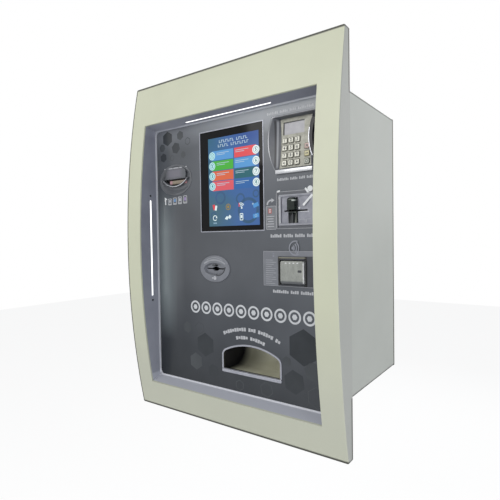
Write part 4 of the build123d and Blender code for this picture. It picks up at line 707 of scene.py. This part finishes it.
def makeIcons(d, back):
    top, low = d["iconRows"]
    a, b, c, e = d["iconColumns"]
    layer = d["layer"]
    front = back - layer
    # a pair of cards, a coin, radio waves and a ticket
    # below them, a round arrow, two keys, a telephone and a banknote
    red = [cutPlate(a - 2.5, top + 1, 7, 13, 1.2, layer, back, turn=14),
           cutPlate(c - 6.5, top + 3, 2.6, 9, 0.6, layer, back)]
    white = [cutPlate(a + 3.5, top - 1, 6, 12, 1.2, layer, front, turn=-12)]
    white += [cutArc(c - 2, top - 4.5, 4.5 + 3.4 * k, 1.7, 35, 75, layer, front) for k in range(3)]
    white += [cutDisc(c + 1, top - 4.5, 2.2, layer, front),
              cutArc(a, low, 5.8, 2.0, 30, 290, layer, back),
              cutDisc(a + 4.6, low + 1.2, 3.2, layer, back, sides=3)]
    white += [cutPlate(b + 4.2 * k, low + 1.2 * k, 7.2, 7.2, 0.8, layer, back, turn=45) for k in (-1, 1)]
    white += [cutDisc(b - 8.5, low - 2.5, 1.8, layer, back),
              cutFrame(c, low, 9.6, 16.5, 1.7, 1.6, layer, back),
              cutPlate(c, low + 0.6, 4.2, 7.0, 0.8, layer, back)]
    gold = [cutRing(b, top, 7.4, 1.8, layer, back), cutDisc(b, top, 3.4, layer, back)]
    blue = [cutPlate(e, top, 15, 9, 1.0, layer, back, turn=18),
            cutPlate(e, low + 1, 16, 9.5, 1.2, layer, back, turn=14)]
    dim = [cutDisc(e - 8, top + 3, 2.2, layer, back), cutRing(e, low + 1, 3.2, 1.2, layer, front, turn=14)]
    dim += [cutPlate(a - 4.2 + 2.8 * k, low - 12.4, 1.8, 3.4, 0.4, layer, back) for k in range(4)]
    for name, pieces, tone in (("red", red, "Red"), ("white", white, "White"), ("gold", gold, "Gold"),
                               ("blue", blue, "SkyBlue"), ("dim", dim, "Pale")):
        finish(pieces, 'icons_' + name, lcd[tone])


makeDisplay(display)

# lettering is rows of letter-sized bars in word-long groups, printed on the overlay
lettering = {
    "gap": 1.1, "archGap": 1.2, "wordGap": 0.9,  # between bars, and between words as a share of a bar
    "short": 0.74,  # every third bar is cut short, so that a row reads as letters from afar
    "corner": 0.4, "thick": 0.15,
}


def letterHeight(k, high):
    return high * (lettering["short"] if k % 3 == 1 else 1.0)


def countSteps(words):
    return sum(words) + lettering["wordGap"] * (len(words) - 1)


def cutLetter(x, z, width, height, turn=0.0):
    return cutPlate(x, z, width, height, lettering["corner"], lettering["thick"], turn=turn, steps=2)


# each caption's ends, height and letter height, and the letters in its words
prints = {
    "captions": (
        (107.0, 222.0, 291.4, 5.4, (7, 5, 4, 9)),  # above the pad
        (131.0, 222.0, 146.0, 5.8, (8, 5, 4, 5)),  # below it
        (112.0, 222.0, 24.2, 7.2, (6, 5, 5, 4)),  # below the card reader
        (116.5, 222.0, -97.6, 6.8, (8, 4, 7)),  # below the contactless reader
    ),
    "firstRing": -117.0, "lastRing": 222.0, "ringPitch": 36.0, "ringHeight": -151.0,
    "ring": 15.6, "ringBand": 4.4, "ringHeart": 6.6,
    # each curved row's left end, middle and right end, letter height, and the letters in its words
    "arches": ((((-27.0, -208.0), (52.0, -192.0), (134.0, -212.0)), 8.4, (10, 3, 6, 2)),
               (((11.0, -215.0), (52.0, -211.8), (93.0, -220.5)), 8.0, (5, 6))),
}


def makePrints(d):
    bars = []
    for x, end, z, high, words in d["captions"]:
        pitch = (end - x) / countSteps(words)
        for count in words:
            for k in range(count):
                tall = letterHeight(k, high)
                bars.append(cutLetter(x + pitch / 2, z + (tall - high) / 2, pitch - lettering["gap"], tall))
                x += pitch
            x += lettering["wordGap"] * pitch
    finish(bars, 'caption_bars', ink["Pale"])
    # a row of tokens stands in the title's place
    rings = []
    x = d["firstRing"]
    while x < d["lastRing"]:
        rings.append(cutRing(x, d["ringHeight"], d["ring"], d["ringBand"], lettering["thick"], sides=56))
        rings.append(cutDisc(x, d["ringHeight"], d["ringHeart"], lettering["thick"], sides=6, turn=30))
        x += d["ringPitch"]
    finish(rings, 'token_row', ink["Silver"])
    # two curved rows of upright bars over the dispensing mouth
    bars = []
    for points, high, words in d["arches"]:
        x, z, radius, start, sweep = arcThrough(*points)
        step = sweep / countSteps(words)
        width = radius * math.radians(abs(step)) - lettering["archGap"]
        at = start + step / 2
        for count in words:
            for k in range(count):
                across, up = radius * math.cos(math.radians(at)), radius * math.sin(math.radians(at))
                bars.append(cutLetter(x + across, z + up, width, letterHeight(k, high), turn=at - 90))
                at += step
            at += lettering["wordGap"] * step
    finish(bars, 'arch_bars', ink["Pale"])
    print("captions and token row printed")


makePrints(prints)

# tone-on-tone hexagons drift across two corners of the overlay: place, size and turn of each
hexagons = {
    "dark": ((192, -214, 40, 0), (168, -292, 27, 8), (-86, -244, 30, 0), (-60, -306, 18, 12),
             (-206, 284, 19, 0), (-176, 256, 15, 14), (-222, 236, 12, 6)),
    "mid": ((214, -262, 22, 18), (150, -250, 12, 10), (-118, -290, 22, 4), (-146, -206, 15, 10),
            (-226, 262, 11, 20), (-160, 286, 12, 4), (-150, 236, 9, 12)),
    "line": ((222, -316, 24, 4), (96, -322, 18, 12), (20, -326, 13, 0), (-104, -204, 16, 8),
             (-190, 232, 8, 6), (-134, 268, 10, 0)),
}


def makeHexagons(d, band=1.6, thick=0.06):
    for kind, material in (("dark", deepTint), ("mid", midTint), ("line", midTint)):
        pieces = []
        for x, z, size, turn in d[kind]:
            if kind == "line":
                pieces.append(cutRing(x, z, size, band, thick, sides=6, turn=turn))
            else:
                pieces.append(cutDisc(x, z, size, thick, sides=6, turn=turn))
        finish(pieces, 'hexagons_' + kind, material)


makeHexagons(hexagons)

smallPrints = {
    "arrow": (-217.5, 118),
    "note": (-201.5, 118.5), "notePitch": 18.4, "noteClimb": 1.0,
    "notes": (("Pale", 17), ("Blue", 18), ("Pale", 19), ("Violet", 20)),  # each note's colour and height
    "bend": (114.5, 93.0), "label": (114.6, 64.2, 25.4, 50.6), "tab": (111.9, 79.2),
}


def makeSmallPrints(d):
    prints = {tone: [] for tone in ("White", "Pale", "Plate", "Red", "Blue", "Violet")}
    white, pale = prints["White"], prints["Pale"]
    # the note reader's row: an arrow up and four small note outlines
    x, z = d["arrow"]
    white += [cutPlate(x, z, 3.4, 13, 0.8, 0.15), cutDisc(x, z + 8, 6.2, 0.15, sides=3, turn=30)]
    for k, (tone, high) in enumerate(d["notes"]):
        x, z = d["note"][0] + d["notePitch"] * k, d["note"][1] + d["noteClimb"] * k
        pale.append(cutFrame(x, z, 13.5, high, 1.7, 2.2, 0.15))
        prints[tone].append(cutPlate(x, z + 1.5, 6.4, high * 0.42, 1.4, 0.15))
        pale.append(cutPlate(x, z - high * 0.33, 8.6, 1.8, 0.5, 0.15))
    # beside the card reader: a bent arrow, a framed label, ruled lines and a red tab
    x, z = d["bend"]
    pale += [cutArc(x, z, 9.6, 3.6, 75, 105, 0.15), cutDisc(x + 4.1, z + 9.4, 5.4, 0.15, sides=3, turn=-90)]
    x, z, wide, high = d["label"]
    prints["Plate"].append(cutPlate(x, z, wide, high, 1.6, 0.1))
    pale.append(cutFrame(x, z, wide + 1.2, high + 1.2, 0.8, 1.8, 0.15))
    for k in range(5):
        left, length = 1.0 + (k % 2) * 1.2, 19.5 - (k % 3) * 2.6
        pale.append(cutPlate(x - left, z + 3.2 - 5.6 * k, length, 1.7, 0.4, 0.1, -0.1))
    x, z = d["tab"]
    prints["Red"].append(cutPlate(x, z, 9.0, 11.0, 1.2, 0.1, -0.1))
    white += [cutPlate(x, z + rise, 5.6, 1.7, 0.4, 0.05, -0.2) for rise in (2.4, -2.0)]
    for tone, pieces in prints.items():
        finish(pieces, 'small_prints_' + tone.lower(), ink[tone])
    print("small prints done")


makeSmallPrints(smallPrints)

noteReader = {
    "hood": (-219.0, 204.6), "dashes": (13, 15, 19, 10, 14), "dashGap": 2.6,
    "mouth": (-182.0, 178.2, 93.5, 21.8), "lip": 1.7,
    "guide": ((-204, 3.0, 163.5), (-143, 9.0, 173.5)),
}


def makeNoteDetails(d):
    at, z = d["hood"]
    # a painted highlight along the hood's upper edge, broken into dashes
    dashes = []
    for length in d["dashes"]:
        dashes.append(cutPlate(at + length / 2, z, length, 2.4, 0.9, 0.5, -0.6))
        at += length + d["dashGap"]
    finish(dashes, 'hood_edge_highlight', ink["Pale"])
    # the bright lip stops short of the mouth's corners
    x, z, wide, drop = d["mouth"]
    lip = cutArcThrough(((x - wide / 2, z), (x, z - drop), (x + wide / 2, z)), d["lip"], 0.5, -0.9,
                        steps=28, inward=0.6, begin=0.06, share=0.88)
    finish(lip, 'mouth_lip', brightBead)
    # a pale guide block shows inside the mouth, at its right
    finish(cutBlock(*d["guide"], 2.0), 'note_guide', guideBeige)
    print("note reader dressed")


makeNoteDetails(noteReader)

# each curved line's left end, middle and right end from the plate's middle, and its width
keyReader = {
    "x": -49.5, "z": -53.0, "face": -3.0, "thick": 0.12,
    "captions": ((((-33, 12), (0, 21.5), (33, 12)), 3.4), (((-25, 20.5), (0, 27.0), (25, 20.5)), 1.6)),
    "dishShadeLines": ((((33.4, 5), (27.4, -8.2), (4, -14.6)), 3.0), (((-30, -7), (-18, -12.6), (0, -15.4)), 0.8)),
}


def makeKeyDetails(d):
    x, z, face, thick = d["x"], d["z"], d["face"], d["thick"]
    # two curved caption lines above the dish, and painted shade along its rim
    pale, dark = [[cutArcThrough([(x + u, z + v) for u, v in points], band, thick, face, steps)
                   for points, band in d[kind]] for kind, steps in (("captions", 20), ("dishShadeLines", 16))]
    # a dark notch above the slot
    dark.append(cutPlate(x - 2.5, z + 8.6, 9.0, 3.6, 1.2, thick, face))
    mark = [cutDisc(x + 1, z - 22.5, 4.6, thick, face, sides=20),
            cutPlate(x - 4.5, z - 22.5, 7.5, 3.6, 1.0, thick, face)]
    finish(pale, 'key_caption', ink["Line"])
    finish(dark, 'key_dish_shade_and_notch', ink["CharcoalAndShade"])
    finish(mark, 'key_mark', ink["Pale"])


makeKeyDetails(keyReader)

pinPad = {
    "x": 174.5, "y": 3.0, "z": 169.4, "tilt": 4.3, "keyProud": 2.4, "keyWidth": 11.0, "keyHeight": 10.4,
    "grooveRoom": 3.0, "shadowBand": 1.1, "figure": 9.4, "thick": 0.12, "windowBack": -1.9,
}


def layOnPad(obj, d, lift):
    # drawn about the pad's lower edge, then tilted on to its face
    tilt = math.radians(d["tilt"])
    obj.rotation_euler = (-tilt, 0, 0)
    obj.location = (d["x"] * mm, (d["y"] - lift * math.cos(tilt)) * mm, (d["z"] + lift * math.sin(tilt)) * mm)
    return settle(obj)


def cutKeyMark(mark, u, v, d):
    thick = d["thick"]
    if mark.isdigit():
        return cutDigit(mark, u, v, d["figure"], thick)
    if mark in ("left", "right"):
        return cutDisc(u, v, 3.2, thick, sides=3, turn=90 if mark == "left" else -90)
    if mark == "cancel":
        return joinAll([cutPlate(u, v, 7.4, 1.7, 0.3, thick, turn=45),
                        cutPlate(u, v, 1.7, 7.4, 0.3, thick, 0.02, turn=45)])
    if mark == "clear":
        return cutPlate(u, v, 6.6, 1.9, 0.4, thick)
    return cutRing(u, v, 3.4, 1.3, thick, sides=24)


def makePadDetails(d):
    # a dark figure or sign on every key, and a dark groove round it
    places = {}
    for name in list(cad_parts):
        if name.startswith("pad_key_"):
            low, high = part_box(name)
            places[name] = ((low[0] + high[0]) / 2 / mm - d["x"], (low[2] + high[2]) / 2 / mm - d["z"])
    for name, (u, v) in places.items():
        mark = name[len("pad_key_"):]
        piece = layOnPad(cutKeyMark(mark, u, v, d), d, d["keyProud"])
        finish(piece, 'mark_' + mark, ink["CharcoalAndShade"], body=name)
    # a dark figure or sign on every key, and a painted shadow round it where its groove is
    wide, high = d["keyWidth"] + d["grooveRoom"], d["keyHeight"] + d["grooveRoom"]
    grooveShadows = joinAll([cutFrame(u, v, wide, high, d["shadowBand"], 2.4, 0.1) for u, v in places.values()])
    finish(layOnPad(grooveShadows, d, 0.0), 'key_groove_shadows', padShade)
    # the shade at the window's left and top
    shade = joinAll([cutPlate(-30.6, 86.5, 2.4, 28.4, 0.3, 0.5), cutPlate(-5.5, 99.6, 52.4, 2.2, 0.3, 0.5)])
    finish(layOnPad(shade, d, d["windowBack"]), 'window_shade', ink["CharcoalAndShade"])
    print("PIN pad dressed")


makePadDetails(pinPad)

pocketTrim = {
    "rims": (((121.6, 281.6), (110.6, 221.9), (129.4, 162.6)),
             ((227.4, 281.6), (238.4, 221.9), (219.6, 162.6))),
    "top": (174.5, 282.2, 106.0), "line": 1.1, "lineThick": 0.25, "lineBack": -1.15,
    "cheek": ((218.6, 268.0), (209.6, 230.0), (221.6, 180.0)),
    "cheekWidth": 8.4, "cheekBack": 8.6, "cheekDeep": 9.6, "gleam": 1.3,
    "sill": (129.4, 219.6, 157.4, 166.8), "sillFront": -1.0,
}


def makePocketTrim(d):
    # a painted highlight along the pocket's rim
    line = [cutArcThrough(points, d["line"], d["lineThick"], d["lineBack"]) for points in d["rims"]]
    line.append(cutPlate(*d["top"], d["line"], 0.4, d["lineThick"], d["lineBack"]))
    finish(line, 'pocket_line', rimLineHighlight)
    # the right cheek swells in over the pad's edge, near black as painted shade, with a painted highlight
    # along it
    wide, deep, back = d["cheekWidth"], d["cheekDeep"], d["cheekBack"]
    cheek = cutArcThrough(d["cheek"], wide, deep, back, inward=wide / 2)
    finish(cheek, 'pocket_cheek', darkAbs)
    gleam = cutArcThrough(d["cheek"], d["gleam"], 0.4, back - deep, inward=0.6, begin=0.24, share=0.66)
    finish(gleam, 'cheek_gleam', cheekHighlightMetal)
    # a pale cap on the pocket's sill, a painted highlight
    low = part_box("pinpad_pocket")[0]
    left, right, foot, head = d["sill"]
    sill = cutBlock((left, low[1] / mm - 0.25, foot), (right, d["sillFront"], head), 1.4)
    finish(sill, 'pocket_sill_cap', brightBead)


makePocketTrim(pocketTrim)

cardReader = {
    "x": 178.5, "z": 79.2, "rim": -1.2, "floor": -4.5,
    "border": (98.4, 79.9, 6.2, 3.6),
    "outerLine": (99.0, 80.5, 0.8, 4.0), "innerLine": (82.4, 64.4, 0.9, 3.6),
    "windows": ((193.6, 13.6), (209.4, 12.6)), "windowHeight": 52.6, "windowTall": 11.6,
}


def makeCardDetails(d):
    x, z, rim, floorY = d["x"], d["z"], d["rim"], d["floor"]
    finish(cutFrame(x, z, *d["border"], 0.1, rim), 'card_border', bezelAbs)
    outline = [cutFrame(x, z, *d["outerLine"], 0.15, rim), cutFrame(x, z, *d["innerLine"], 0.12, floorY),
               cutPlate(x - 39.3, z, 4.4, 57.0, 1.2, 0.12, floorY)]
    for at, wide in d["windows"]:
        outline.append(cutFrame(at, d["windowHeight"], wide, d["windowTall"], 0.6, 1.0, 0.1, -2.2))
    finish(outline, 'card_lines', ink["Pale"])
    # a hand with a card, over the slanted line that the card follows
    path = [
        cutDisc(212.0, 121.2, 6.0, 0.12, -1.3),
        cutPlate(203.4, 119.4, 4.4, 9.5, 2.0, 0.12, -1.35, turn=38),
        cutPlate(207.8, 113.2, 4.2, 9.0, 2.0, 0.12, -1.4, turn=52),
        cutPlate(212.6, 110.8, 9.5, 3.6, 1.7, 0.12, -1.45, turn=12),
        cutPlate(208.0, 97.4, 30.5, 4.8, 2.0, 0.15, floorY, turn=44),
        cutPlate(134.9, 120.4, 8.6, 4.0, 1.9, 0.15, rim, turn=16),
        cutDisc(186.8, 82.2, 2.2, 0.6, -2.2),
    ]
    finish(path, 'card_path', ink["White"])
    edge = cutPlate(199.5, z - 4.9, 21.0, 1.5, 0.6, 0.5, -2.2)
    finish(edge, 'slot_edge', brightBead)


makeCardDetails(cardReader)

tapReader = {
    "plate": (160.7, -47.5, 134.6, 77.0, -1.6), "face": (168.7, -54.8, -7.0), "thick": 0.12,
    "lines": (113.4, -29.0, 27.5), "linePitch": 4.7, "cuts": (9, 0, 7, 12, 1, 4, 0, 8, 2, 0, 11, 3),
    "ring": (176.0, 15.0), "waves": 165.6, "waveHeight": -2.6, "waveStep": 5.2, "waveFace": -1.62,
    "lamps": 4, "lampPitch": 9.4,
}


def makeTapDetails(d):
    x, z, wide, high, back = d["plate"]
    thick = d["thick"]
    # ruled lines of uneven length, and a line round the plate
    at, top, long = d["lines"]
    lines = [cutPlate(at - cut / 2, top - d["linePitch"] * k, long - cut, 1.5, 0.5, thick, back)
             for k, cut in enumerate(d["cuts"])]
    lines.append(cutFrame(x, z, wide - 0.4, high - 0.4, 0.9, 1.2, thick, back))
    finish(lines, 'tap_lines', ink["Line"])
    # radio waves in a ring over the plate's upper edge, and a small upright mark
    at, radius = d["ring"]
    up, face = d["waveHeight"], d["waveFace"]
    waves = [cutArc(at, up, radius, 3.0, 70, 235, thick, face, steps=40)]
    for k in range(3):
        waves.append(cutArc(d["waves"], up, 7.5 + d["waveStep"] * k, 3.1, -44, 88, thick, face))
    waves.append(cutDisc(d["waves"] + 3.8, up, 3.2, thick, face))
    waves.append(cutPlate(120.2, -19.4, 4.4, 4.8, 0.9, thick, back))
    waves.append(cutRing(120.2, -16.2, 2.3, 0.9, thick, back, sides=24))
    finish(waves, 'tap_waves', ink["Haze"])
    x, z, face = d["face"]
    lights = [cutPlate(x - 14 + d["lampPitch"] * k, z + 20.2, 4.2, 1.8, 0.8, 0.3, face)
              for k in range(d["lamps"])]
    finish(lights, 'tap_lamps', ink["White"])
    finish(cutPlate(x + 19.6, z + 3.0, 9.6, 5.0, 2.2, 0.25, face), 'tap_eye', ink["CharcoalAndShade"])


makeTapDetails(tapReader)

nicheScrews = {"reach": 248.5, "y": -24.7, "heights": (-140.5, 136.0), "radius": 2.6, "depth": 1.2,
               "rim": 0.9, "crown": 0.7}


def makeScrews(d):
    # low round heads beyond the ends of the side light bars
    heads = []
    for side in (-1, 1):
        for z in d["heights"]:
            deselectAll()
            bpy.ops.mesh.primitive_cylinder_add(
                vertices=20, radius=d["radius"] * mm, depth=d["depth"] * mm,
                location=(side * d["reach"] * mm, d["y"] * mm, z * mm), rotation=(0, math.radians(90), 0))
            head = settle(bpy.context.object)
            bpy.ops.object.mode_set(mode='EDIT')
            pickFaces(head, lambda face: face.normal.x * side < -0.9)
            bpy.ops.mesh.inset(thickness=d["rim"] * mm)
            bpy.ops.mesh.extrude_region_move(TRANSFORM_OT_translate={"value": (side * d["crown"] * mm, 0, 0)})
            heads.append(closeShape(head))
    finish(heads, 'niche_screws', darkAbs)
    print("readers and niche dressed")


makeScrews(nicheScrews)
